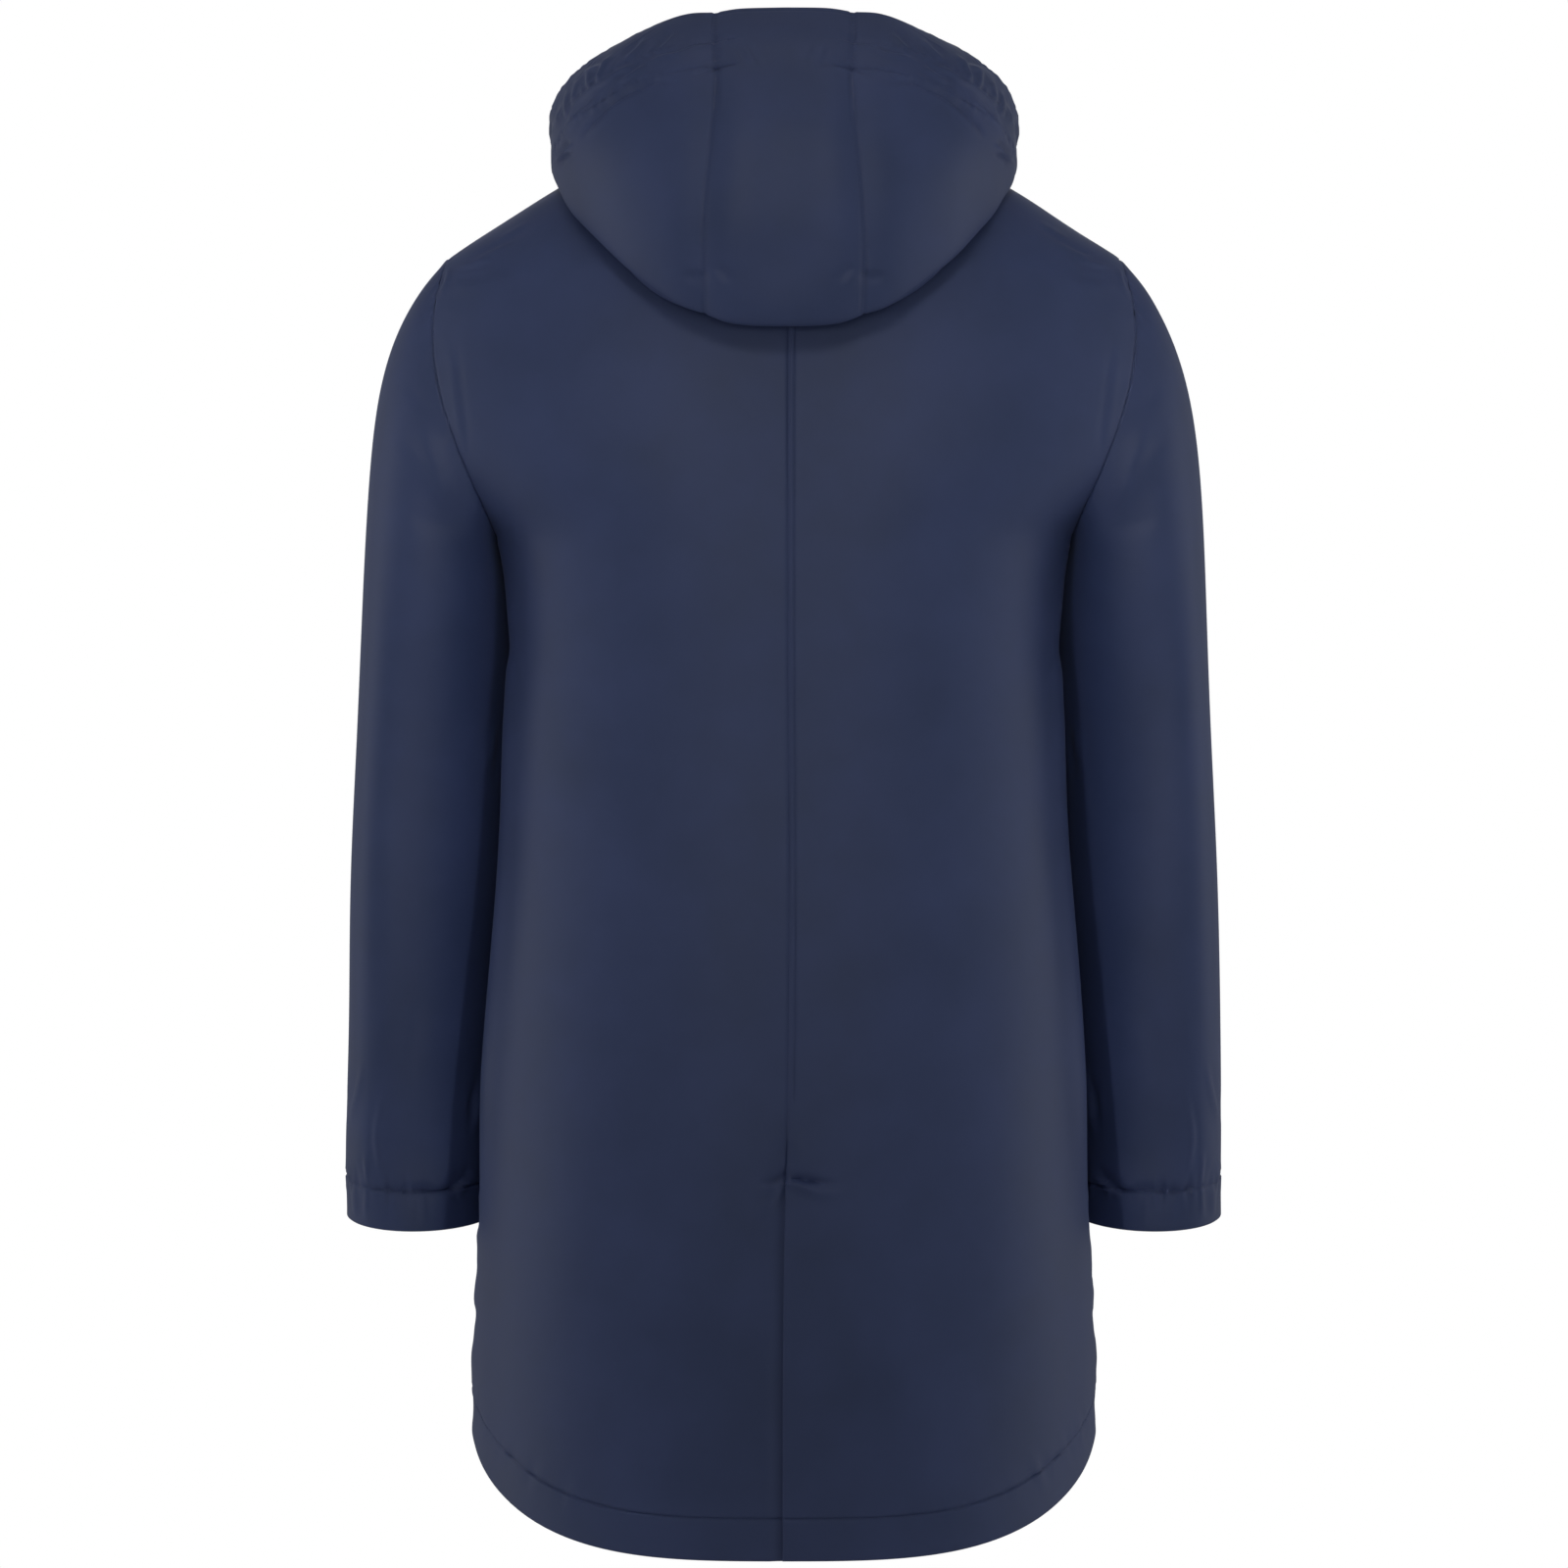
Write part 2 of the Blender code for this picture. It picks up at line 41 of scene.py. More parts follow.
mm = 0.001
eye = {"distance": 5000, "z": -446.8}    # the camera, level and straight behind the coat, in millimetres

# The coat's own sizes in millimetres. Its outline is the one that its solids have. The origin is the middle
# of the neck opening, the front faces -Y and the wearer's left is +X.
coat = {
    "neckX": 85,
    "shoulderPoint": (232, -83),
    "underarm": (197, -278),
    "sideHemZ": -892,
    "neckZ": {"back": 0, "front": -60},
    "chestZ": {"back": -83, "front": -128},
    "hemZ": {"back": -970, "front": -944},
    "neckOval": 2.35,
    "frontOverlap": 30,
    "ventTopZ": -716,
    "lapLift": 2.5,
    "lapEase": (4, 16),           # past the edge of the overlap, where its lift ends
    "ventEase": (0.4, 11),        # past the centre seam, where the underlap's dip ends
    "ventTopEase": (-2, 10),      # and over the top of the vent
    "cloth": 0.9,                 # shell with its membrane
    "hemCloth": 1.9,              # the same, turned up once
    "hemDepth": 28.5,             # from the edge to the hem's stitching
    "hemPast": 1.5,               # the turned cloth reaches that much past it
    "facing": 42,                 # turned-in width along the front and vent edges
    "edgeCloth": 0.06,            # left where both faces meet at a folded edge
    "tape": 0.25,                 # sealing tape over the seams, inside
    "tapeHalf": 10,
    "seamReach": 6,               # beside the armhole seam, panels and sleeve move alike
    "seamFreeZ": (-380, -480),    # higher up the arm keeps the side and underarm seams flat
}
# The centre-back seam wanders a little: its x at heights
centreSeam = {"z": [0, -400, -660, -716, -990], "x": [-3, -2.8, -2.2, -0.8, 1.0]}
halfWidth = {
    "z": [0, -16.5, -32, -51.5, -68.5, -83, -105, -140, -184, -218, -250, -264, -278, -292,
          -308, -325, -345, -375, -407, -463, -532, -610, -700, -787, -855, -892, -990],
    "x": [85, 122, 153, 184, 210, 232, 252, 269, 274, 260, 227, 209.5, 197, 192.4,
          190.2, 188.8, 187.8, 189.6, 191.6, 193.3, 198, 204.5, 209.5, 213, 215.3, 215.6, 214],
}
oval = {
    "z": [0, -100, -184, -278, -345, -450, -600, -990],
    "power": [2.35, 2.35, 2.45, 2.7, 2.6, 2.5, 2.4, 2.35],
}
centreLine = {
    "back": {
        "z": [0, -8, -30, -60, -100, -150, -200, -278, -345, -420, -560, -740, -890, -990],
        "y": [67, 75, 92, 107, 118, 125, 128, 128, 126, 124, 127, 138, 148, 154],
    },
    "front": {
        "z": [0, -30, -60, -80, -105, -140, -200, -278, -400, -560, -740, -890, -990],
        "y": [-46, -66, -85, -95, -104, -112, -120, -128, -133, -140, -149, -156, -160],
    },
}
swells = {
    "back": {
        "x": [95, 60, 165], "z": [-190, -640, -700],
        "height": [3, 2.5, 3], "wide": [60, 45, 40], "tall": [90, 160, 190],
    },
    "front": {
        "x": [100, 75, 160], "z": [-230, -700, -660],
        "height": [3.5, 3, 2.5], "wide": [60, 42, 38], "tall": [110, 200, 180],
    },
}
rowShape = {"back": (2, 1), "front": (2, 0.85), "hem": (3.5, 0.58)}
sleeve = {
    "share": [0, 0.06, 0.13, 0.21, 0.3, 0.4, 0.52, 0.65, 0.78, 0.9, 1],
    "outerX": [232, 250, 268, 280.5, 287, 291, 295.5, 300, 303, 305.5, 306],
    "outerZ": [-83, -103.5, -138, -185, -245, -315, -405, -502, -602, -688, -744],
    "innerX": [197, 197.2, 196, 193.4, 190, 188.3, 190.6, 195, 200, 202, 202],
    "innerZ": [-278, -283, -290, -301, -324, -362, -432, -516, -606, -692, -750],
    "centreY": [-4, -4, -4, -5, -7, -12, -18, -24, -35, -49, -58],
    "halfDepth": [82, 81, 80, 79, 78, 75, 68, 62, 56, 52, 49],
    "backBow": [20, 18, 15, 10, 5, 2, 0, 0, 0, 0, 0],
    "frontBow": [5, 6, 6, 5, 3, 1, 0, 0, 0, 0, 0],
    "toeIn": [0, 0.02, 0.05, 0.1, 0.18, 0.27, 0.33, 0.34, 0.32, 0.3, 0.3],
    "tilt": [0, 0, 0, 0, 1, 2, 3, 5, 7, 9, 11],
}
armholeFade = 0.25    # share of its length over which the sleeve leaves the line of the armhole
bowTop = 0.4          # the sleeve's bows are that share fuller at its top, and flatter underneath
hoodAngle = [0, 20, 39, 57.5, 74, 90, 105, 120, 140, 160, 180]
hoodRows = {    # radii and heights round the neck, from the neck seam to the opening
    "stand": (
        [80, 81, 84, 88, 93, 97, 97, 94, 91, 90, 90],
        [14, 13, 11, 9, 7, 5, 0, -11, -31, -47, -54],
    ),
    "under": (
        [107, 110, 121, 125, 123, 124, 119, 114, 106, 99, 96],
        [-8, -9, -3, -1, -3, -4, -11, -23, -41, -56, -63],
    ),
    "roll": (
        [143, 148, 161, 164, 152, 147, 145, 138, 119, 108, 102],
        [-133, -130, -102, -51, -27, -20, -30, -45, -60, -72, -76],
    ),
    "tuck": (
        [149.5, 154.5, 166, 167, 156.5, 152, 149, 141, 122, 111, 105],
        [-135.5, -129, -96, -53.5, -29.5, -21.5, -30.5, -45.5, -61, -73, -77],
    ),
    "fold": (
        [156, 160.5, 170.5, 170, 161, 157, 153, 145, 126, 114, 108],
        [-139, -132, -97, -57, -33, -23, -31, -46, -61, -72.5, -76.5],
    ),
    "low": (
        [176, 180, 184, 177, 166, 160, 158, 149, 131, 120, 114],
        [-85, -81, -55, -27, -13, -7, -24, -38, -55, -66, -71],
    ),
    "high": (
        [172, 174, 176, 170, 163, 162, 162, 151, 133, 122, 116],
        [0, 2, 7, 12, 13, 9, -16, -31, -45, -55, -61],
    ),
    "crest": (
        [141, 146, 152, 154, 156, 162.5, 164, 150.5, 131, 120, 114],
        [52, 51, 49, 43, 32, 17, -10, -22, -35, -44, -51],
    ),
    "edge": (
        [99, 104, 117, 134, 147.5, 161.5, 165.5, 149, 127, 116, 110],
        [82.5, 81.5, 76, 60, 46, 23, -4, -14, -27, -36, -43],
    ),
}
hoodAlong = [0, 0.045, 0.13, 0.38, 0.41, 0.44, 0.55, 0.73, 0.88, 1]
hoodSeamAngle = [28, 28, 26.5, 21, 20.4, 19.8, 17.9, 16.1, 18.9, 26.3]
hoodFrontAngle = 178
rollShare, foldShare, lowShare = hoodAlong[3], hoodAlong[5], hoodAlong[6]    # where these rows lie


def curve(knots, values, at):
    # natural cubic spline through values at rising knots
    knots, values, at = (np.asarray(numbers, float) for numbers in (knots, values, at))
    gap = np.diff(knots)
    system = np.eye(len(knots))
    bend = np.zeros(len(knots))
    for i in range(1, len(knots) - 1):
        system[i, i - 1 : i + 2] = gap[i - 1], 2 * (gap[i - 1] + gap[i]), gap[i]
        bend[i] = 6 * ((values[i + 1] - values[i]) / gap[i] - (values[i] - values[i - 1]) / gap[i - 1])
    bend = np.linalg.solve(system, bend)
    i = np.clip(np.searchsorted(knots, at) - 1, 0, len(knots) - 2)
    after = (at - knots[i]) / gap[i]
    before = 1 - after
    sag = gap[i] ** 2 / 6 * ((before**3 - before) * bend[i] + (after**3 - after) * bend[i + 1])
    return before * values[i] + after * values[i + 1] + sag


def atHeight(table, column, z):
    return curve(-np.array(table["z"], float), table[column], -np.asarray(z, float))


def smooth(low, high, x):
    share = np.clip((np.asarray(x, float) - low) / (high - low), 0, 1)
    return share * share * (3 - 2 * share)


def bump(x, width):
    return np.exp(-((x / width) ** 2))


def centreDepth(face, x, z):
    depth = atHeight(centreLine[face], "y", z)
    swell = swells[face]
    for i in range(len(swell["x"])):
        sideways = (np.abs(x) - swell["x"][i]) / swell["wide"][i]
        upwards = (z - swell["z"][i]) / swell["tall"][i]
        depth = depth + np.sign(depth) * swell["height"][i] * np.exp(-(sideways**2) - upwards**2)
    return depth


def bodyDepth(face, x, z):
    share = np.clip(np.abs(x) / atHeight(halfWidth, "x", z), 0, 1)
    power = atHeight(oval, "power", z)
    return centreDepth(face, x, z) * (1 - share**power) ** (1 / power)


def flatLift(x, z):
    return 0 * x * z


def lapLift(x, z):
    # the left front's edge stands forward of the right front
    edge = coat["frontOverlap"]
    near, far = coat["lapEase"]
    return -coat["lapLift"] * (1 - smooth(edge + near, edge + far, x)) + 0 * z


def ventLift(x, z):
    # beside the vent the left back dips under the right one
    fromSeam = x - atHeight(centreSeam, "x", z)
    low, high = coat["ventTopEase"]
    beside = 1 - smooth(*coat["ventEase"], fromSeam)
    below = 1 - smooth(coat["ventTopZ"] + low, coat["ventTopZ"] + high, z)
    return -coat["lapLift"] * beside * below


def bodyNormal(face, points, lift, step=0.01):
    def fullness(x, y, z):
        wide = np.abs(x) / atHeight(halfWidth, "x", z)
        deep = np.abs((y - lift(x, z)) / centreDepth(face, x, z))
        power = atHeight(oval, "power", z)
        return wide**power + deep**power

    slopes = []
    for axis in np.eye(3) * step:
        ahead = fullness(*np.moveaxis(points + axis, -1, 0))
        slopes.append(ahead - fullness(*np.moveaxis(points - axis, -1, 0)))
    return unit(np.stack(slopes, -1))


def unit(vectors):
    return vectors / np.maximum(np.linalg.norm(vectors, axis=-1, keepdims=True), 1e-12)


def armholePoint(around):
    # the armhole seam: 0 at the shoulder point, 90 degrees at the back, 180 at the underarm
    top, bottom = np.array(coat["shoulderPoint"], float), np.array(coat["underarm"], float)
    half = (top - bottom) / 2
    forward = np.array([half[1], -half[0]]) / np.linalg.norm(half)
    sine, cosine = np.sin(around), np.cos(around)
    bow = np.where(sine > 0, sleeve["backBow"][0], sleeve["frontBow"][0]) * sine**2 * (1 + bowTop * cosine)
    x, z = ((top + bottom) / 2)[:, None] + half[:, None] * cosine.ravel() + forward[:, None] * bow.ravel()
    x, z = x.reshape(cosine.shape), z.reshape(cosine.shape)
    y = np.where(sine > 0, bodyDepth("back", x, z), bodyDepth("front", x, z))
    return np.stack([x, y, z], -1)


def sleevePoint(around, share):
    around, share = np.broadcast_arrays(np.asarray(around, float), np.asarray(share, float))
    at = {name: curve(sleeve["share"], sleeve[name], share) for name in sleeve if name != "share"}
    half = np.stack([at["outerX"] - at["innerX"], at["outerZ"] - at["innerZ"]], -1) / 2
    middle = np.stack([at["outerX"] + at["innerX"], at["outerZ"] + at["innerZ"]], -1) / 2
    length = np.linalg.norm(half, axis=-1)
    forward = np.stack([half[..., 1], -half[..., 0]], -1) / length[..., None]
    sine, cosine = np.sin(around), np.cos(around)
    lean = at["toeIn"] * at["halfDepth"]
    reach = cosine * np.sqrt(1 - (lean / length) ** 2)
    bow = np.where(sine > 0, at["backBow"], at["frontBow"]) * sine**2 * (1 + bowTop * cosine)
    flat = middle + half * reach[..., None] + forward * bow[..., None]
    depth = at["centreY"] + at["halfDepth"] * sine
    atSeam = sleeve["centreY"][0] + sleeve["halfDepth"][0] * sine
    depth = depth + (armholePoint(around)[..., 1] - atSeam) * (1 - smooth(0, armholeFade, share))
    return np.stack([flat[..., 0] + lean * sine, depth, flat[..., 1] - at["tilt"] * sine], -1)


def surfaceNormal(surface, first, second, step=1e-4):
    alongFirst = surface(first + step, second) - surface(first - step, second)
    alongSecond = surface(first, second + step) - surface(first, second - step)
    return unit(np.cross(alongSecond, alongFirst))


def armholeNormal(around):
    # half way between the panel's and the sleeve's directions, so both move alike at their seam
    point = armholePoint(around)
    isBack = (np.sin(around) > 0)[..., None]
    panel = np.where(isBack, bodyNormal("back", point, flatLift), bodyNormal("front", point, flatLift))
    return unit(panel + surfaceNormal(sleevePoint, around, np.full(np.shape(around), 1e-3)))


def rowEdge(face, row):
    # ends of the body's rows: 0 to 1 down the shoulder seam, to 2 the armhole, to 3 the side seam
    shoulder, armhole, side = np.clip(row, 0, 1), np.clip(row - 1, 0, 1), np.clip(row - 2, 0, 1)
    loop = armholePoint(np.pi * armhole * (1 if face == "back" else -1))
    sideZ = coat["underarm"][1] + (coat["sideHemZ"] - coat["underarm"][1]) * side
    seamZ = np.where(row <= 1, coat["shoulderPoint"][1] * shoulder, sideZ)
    onArmhole = (row > 1) & (row < 2)
    x = np.where(onArmhole, loop[..., 0], atHeight(halfWidth, "x", seamZ))
    z = np.where(onArmhole, loop[..., 2], seamZ)
    neckZ, chestZ, hemZ = coat["neckZ"][face], coat["chestZ"][face], coat["hemZ"][face]
    centre = neckZ + (chestZ - neckZ) * shoulder
    centre = centre + (coat["underarm"][1] - chestZ) * armhole + (hemZ - coat["underarm"][1]) * side
    return x, z, centre


def bodyPoint(face, row, across, start, lift):
    row, across, start = np.broadcast_arrays(*(np.asarray(part, float) for part in (row, across, start)))
    edgeX, edgeZ, centreZ = rowEdge(face, row)
    share = np.clip(edgeX / atHeight(halfWidth, "x", edgeZ), 0, 1)
    turn = np.arcsin(share ** (coat["neckOval"] / 2))
    x = start + (edgeX - start) * np.sin(across * turn) / np.sin(turn)
    share = np.clip(np.abs(x) / edgeX, 0, 1)
    power, root = (np.where(row > 2, rowShape["hem"][i], rowShape[face][i]) for i in range(2))
    z = edgeZ + (centreZ - edgeZ) * (1 - share**power) ** root
    return np.stack([x, bodyDepth(face, x, z) + lift(x, z), z], -1)


def neckLine(turned):
    isBack = turned <= 90
    share = np.abs(np.sin(np.radians(turned))) ** (2 / coat["neckOval"])
    x = coat["neckX"] * share
    power, root = rowShape["front"]
    frontZ = coat["neckZ"]["front"] * (1 - np.clip(share, 0, 1) ** power) ** root
    z = np.where(isBack, coat["neckZ"]["back"], frontZ)
    y = np.where(isBack, bodyDepth("back", x, z), bodyDepth("front", x, z))
    return np.stack([x, y, z], -1)


def hoodPoint(angle, along):
    angle, along = np.broadcast_arrays(np.asarray(angle, float), np.asarray(along, float))
    turned = np.abs(angle)
    sideways, backwards = np.sin(np.radians(turned)), np.cos(np.radians(turned))
    rows = [neckLine(turned)]
    mirror = slice(2, 0, -1)     # two knots past the centre back keep the sections level there
    knots = [-knot for knot in hoodAngle[mirror]] + hoodAngle
    for radii, heights in hoodRows.values():
        radius = curve(knots, radii[mirror] + radii, turned)
        height = curve(knots, heights[mirror] + heights, turned)
        rows.append(np.stack([radius * sideways, radius * backwards, height], -1))
    point = np.zeros(rows[0].shape)
    for row, alone in zip(rows, np.eye(len(rows))):
        point += row * curve(hoodAlong, alone, along)[..., None]
    point[..., 0] *= np.where(angle < 0, -1, 1)
    return point


def places(length, focuses, fine, coarse, growth=0.3):
    # places from 0 to 1 along a length, closer together round each focus
    at = [0.0]
    while at[-1] < length:
        step = min([coarse] + [fine + growth * abs(at[-1] - focus) for focus in focuses])
        at.append(at[-1] + step)
    return np.array(at) / at[-1]


def gridNormal(points, like, isTube=False):
    # normals of a grid of points, on the same side as the normals in like
    down = np.gradient(points, axis=0)
    if isTube:
        side = np.roll(points, -1, axis=1) - np.roll(points, 1, axis=1)
    else:
        side = np.gradient(points, axis=1)
    normal = unit(np.cross(down, side))
    return normal * np.sign(np.sum(normal * like))


def lineLength(line):
    steps = np.linalg.norm(np.diff(line, axis=0), axis=-1)
    return np.concatenate([[0], np.cumsum(steps)])


def resampled(line, spacing):
    length = lineLength(line)
    at = np.linspace(0, length[-1], max(2, int(length[-1] / spacing)))
    return np.stack([np.interp(at, length, line[:, i]) for i in range(line.shape[1])], -1)


def nearLine(points, line, spacing=3.0):
    # each point's distance from a line, how far along it the nearest place is, and which side it is on
    fine = resampled(np.asarray(line, float), spacing)
    flat = points.reshape(-1, points.shape[-1])
    distance, along, side = np.empty(len(flat)), np.empty(len(flat)), np.empty(len(flat))
    first, step = fine[:-1], np.diff(fine, axis=0)
    squared = np.maximum(np.sum(step**2, axis=-1), 1e-9)
    lengths = lineLength(fine)
    batch = 4000
    for low in range(0, len(flat), batch):
        part = flat[low : low + batch]
        offset = part[:, None] - first[None]
        share = np.clip(np.sum(offset * step[None], axis=-1) / squared, 0, 1)
        away = offset - share[..., None] * step[None]
        apart = np.linalg.norm(away, axis=-1)
        nearest = np.argmin(apart, axis=1)
        pick = np.arange(len(part)), nearest
        distance[low : low + batch] = apart[pick]
        along[low : low + batch] = lengths[nearest] + share[pick] * np.sqrt(squared[nearest])
        run, gap = step[nearest], away[pick]
        side[low : low + batch] = np.sign(run[:, 0] * gap[:, 1] - run[:, 1] * gap[:, 0])
    shape = points.shape[:-1]
    return distance.reshape(shape), along.reshape(shape), side.reshape(shape)


waves = {
    "lengths": (0.62, 0.85, 1.0, 1.37, 1.9),    # of a ripple's five waves, beside its wavelength
    "rippleSum": 2.6,                           # brings what they add up to back to about 1
    "noiseCount": 7,
    "noiseSizes": (0.7, 1.8),
    "noiseSum": 3.2,
}


def ripple(at, wavelength, seed):
    # uneven waves, from about -1 to 1, with no two alike
    random = np.random.default_rng(seed)
    total = np.zeros(np.shape(at))
    for scale in waves["lengths"]:
        total += np.sin(2 * np.pi * np.asarray(at) / (wavelength * scale) + random.uniform(0, 2 * np.pi))
    return total / waves["rippleSum"]


groups = {"wavelengths": 5.3, "between": (-0.35, 0.6), "least": 0.3}    # puckers come and go in groups


def puckers(distance, along, settings, seed):
    # small tucks that stand across a line of sewing and fade away from it
    place = along + settings.get("skew", 0) * distance
    wave = ripple(place, settings["wavelength"], seed)
    least, slow = groups["least"], settings["wavelength"] * groups["wavelengths"]
    gate = smooth(*groups["between"], ripple(along, slow, seed + 7))
    return settings["height"] * wave * (least + (1 - least) * gate) * bump(distance, settings["reach"])


def softNoise(points, size, seed):
    # slow, gentle unevenness of hanging cloth
    random = np.random.default_rng(seed)
    total = np.zeros(points.shape[:-1])
    for _ in range(waves["noiseCount"]):
        direction = unit(random.normal(size=points.shape[-1]))
        scale = size * random.uniform(*waves["noiseSizes"])
        total += np.sin(points @ direction * 2 * np.pi / scale + random.uniform(0, 2 * np.pi))
    return total / waves["noiseSum"]


def seenFlat(points):
    # where points of the coat show to the eye behind it, in the plane of the origin
    nearness = 1 - points[..., 1] / eye["distance"]
    return np.stack([points[..., 0] / nearness, eye["z"] + (points[..., 2] - eye["z"]) / nearness], -1)


stroke = {
    "steps": 24,
    "reach": 5,                    # how many widths to each side it is worked out
    "taper": 0.32,                 # share of its length over which each end fades
    "ridge": (0.55, 1.9, 1.7),     # share of the trough's depth, then place and spread in widths
}


def creases(flatPoints, strokes, shown=True):
    # Creases on the cloth as seen flat, from behind or in front. Each stroke is its path, a depth and a
    # width: a trough with a softer ridge on one side, both fading at the ends. A depth below zero turns the
    # two over.
    total = np.zeros(flatPoints.shape[:-1])
    ridge, ridgeAt, ridgeSpread = stroke["ridge"]
    for path, depth, width in strokes:
        knots = np.arange(len(path))
        at = np.linspace(0, len(path) - 1, stroke["steps"])
        line = np.stack([curve(knots, column, at) for column in np.array(path, float).T], -1)
        margin = stroke["reach"] * width
        low, high = line.min(axis=0) - margin, line.max(axis=0) + margin
        near = np.all((flatPoints > low) & (flatPoints < high), axis=-1) & shown
        if not near.any():
            continue
        distance, along, side = nearLine(flatPoints[near], line, max(1.0, width / 2))
        share = along / lineLength(line)[-1]
        taper = smooth(0, stroke["taper"], np.minimum(share, 1 - share))
        across = side * distance / width
        beside = ridge * np.exp(-((across - ridgeAt) ** 2) / ridgeSpread)
        total[near] += depth * taper * (beside - np.exp(-(across**2)))
    return total


def arcAcross(points):
    step = np.linalg.norm(np.diff(points, axis=1), axis=-1)
    return np.concatenate([np.zeros((len(points), 1)), np.cumsum(step, axis=1)], axis=1)


def arcDown(points):
    step = np.linalg.norm(np.diff(points, axis=0), axis=-1)
    return np.concatenate([np.zeros((1, points.shape[1])), np.cumsum(step, axis=0)], axis=0)


def mirrored(vectors, isLeft):
    return vectors * [1 if isLeft else -1, 1, 1]


seams = []     # lines of sewing, each its points and the cloth's outward direction at them


def sew(points, normals, field, wanted, where=None, isAcross=True):
    # A line of sewing where field passes wanted, looked for down each column, or along each row.
    if not isAcross:
        points, normals = np.swapaxes(points, 0, 1), np.swapaxes(normals, 0, 1)
        field = field.T
        where = None if where is None else where.T
    line, outward = [], []
    for column in range(points.shape[1]):
        isBelow = field[:, column] < wanted
        change = np.nonzero(isBelow[1:] != isBelow[:-1])[0]
        if len(change) == 0:
            continue
        i = change[-1]
        if where is not None and not where[i, column]:
            continue
        share = (wanted - field[i, column]) / (field[i + 1, column] - field[i, column])
        line.append(points[i, column] * (1 - share) + points[i + 1, column] * share)
        outward.append(normals[i, column])
    if len(line) > 2:
        seams.append((np.array(line), np.array(outward)))


def linear(code):
    def channel(value):
        return value / 12.92 if value <= 0.04045 else ((value + 0.055) / 1.055) ** 2.4

    return tuple(channel(int(code[i : i + 2], 16) / 255) for i in (1, 3, 5)) + (1,)


def addNode(tree, kind, settings=None, links=None):
    # a node with its settings, and its inputs set to a value or fed from (node, output)
    node = tree.nodes.new(kind)
    for name, value in (settings or {}).items():
        setattr(node, name, value)
    for name, value in (links or {}).items():
        if isinstance(value, tuple) and isinstance(value[0], bpy.types.Node):
            tree.links.new(value[0].outputs[value[1]], node.inputs[name])
        else:
            node.inputs[name].default_value = value
    return node


def addObject(name, data):
    thing = bpy.data.objects.new(name, data)
    bpy.context.scene.collection.objects.link(thing)
    return thing


def finishMesh(mesh, looks, slots, sharpFrom):
    # materials, smooth shading with sharp edges over an angle, and faces that point outwards
    for look in looks:
        mesh.materials.append(look)
    mesh.polygons.foreach_set("material_index", slots)
    mesh.polygons.foreach_set("use_smooth", np.ones(len(slots), bool))
    build = bmesh.new()
    build.from_mesh(mesh)
    bmesh.ops.recalc_face_normals(build, faces=build.faces)
    build.to_mesh(mesh)
    build.free()
    mesh.set_sharp_from_angle(angle=math.radians(sharpFrom))
    mesh.update()


def newMaterial(name):
    material = bpy.data.materials.new(name)
    material.use_nodes = True
    return material, material.node_tree, material.node_tree.nodes["Principled BSDF"]


clothLook = {
    "deep": "#39466c",       # where folding and handling have dulled the face
    "navy": "#404d77",
    "roughness": (0.49, 0.55),
    "ior": 1.43,
    "threadPitch": 0.9,      # mm; the real taffeta's is about 0.25, too fine to show
    "threadWaver": 0.4,
    "grain": 2.2,            # mm
    "grainShare": 0.8,       # of the grain's height beside the threads'
    "height": 0.05,          # mm of weave and grain
    "relief": 0.12,          # how strongly they show
    "handling": 60,          # mm across the faint marks that folding leaves
    "sheen": (0.1, 0.45, "#a9b4d6"),    # weight, roughness and tint
}


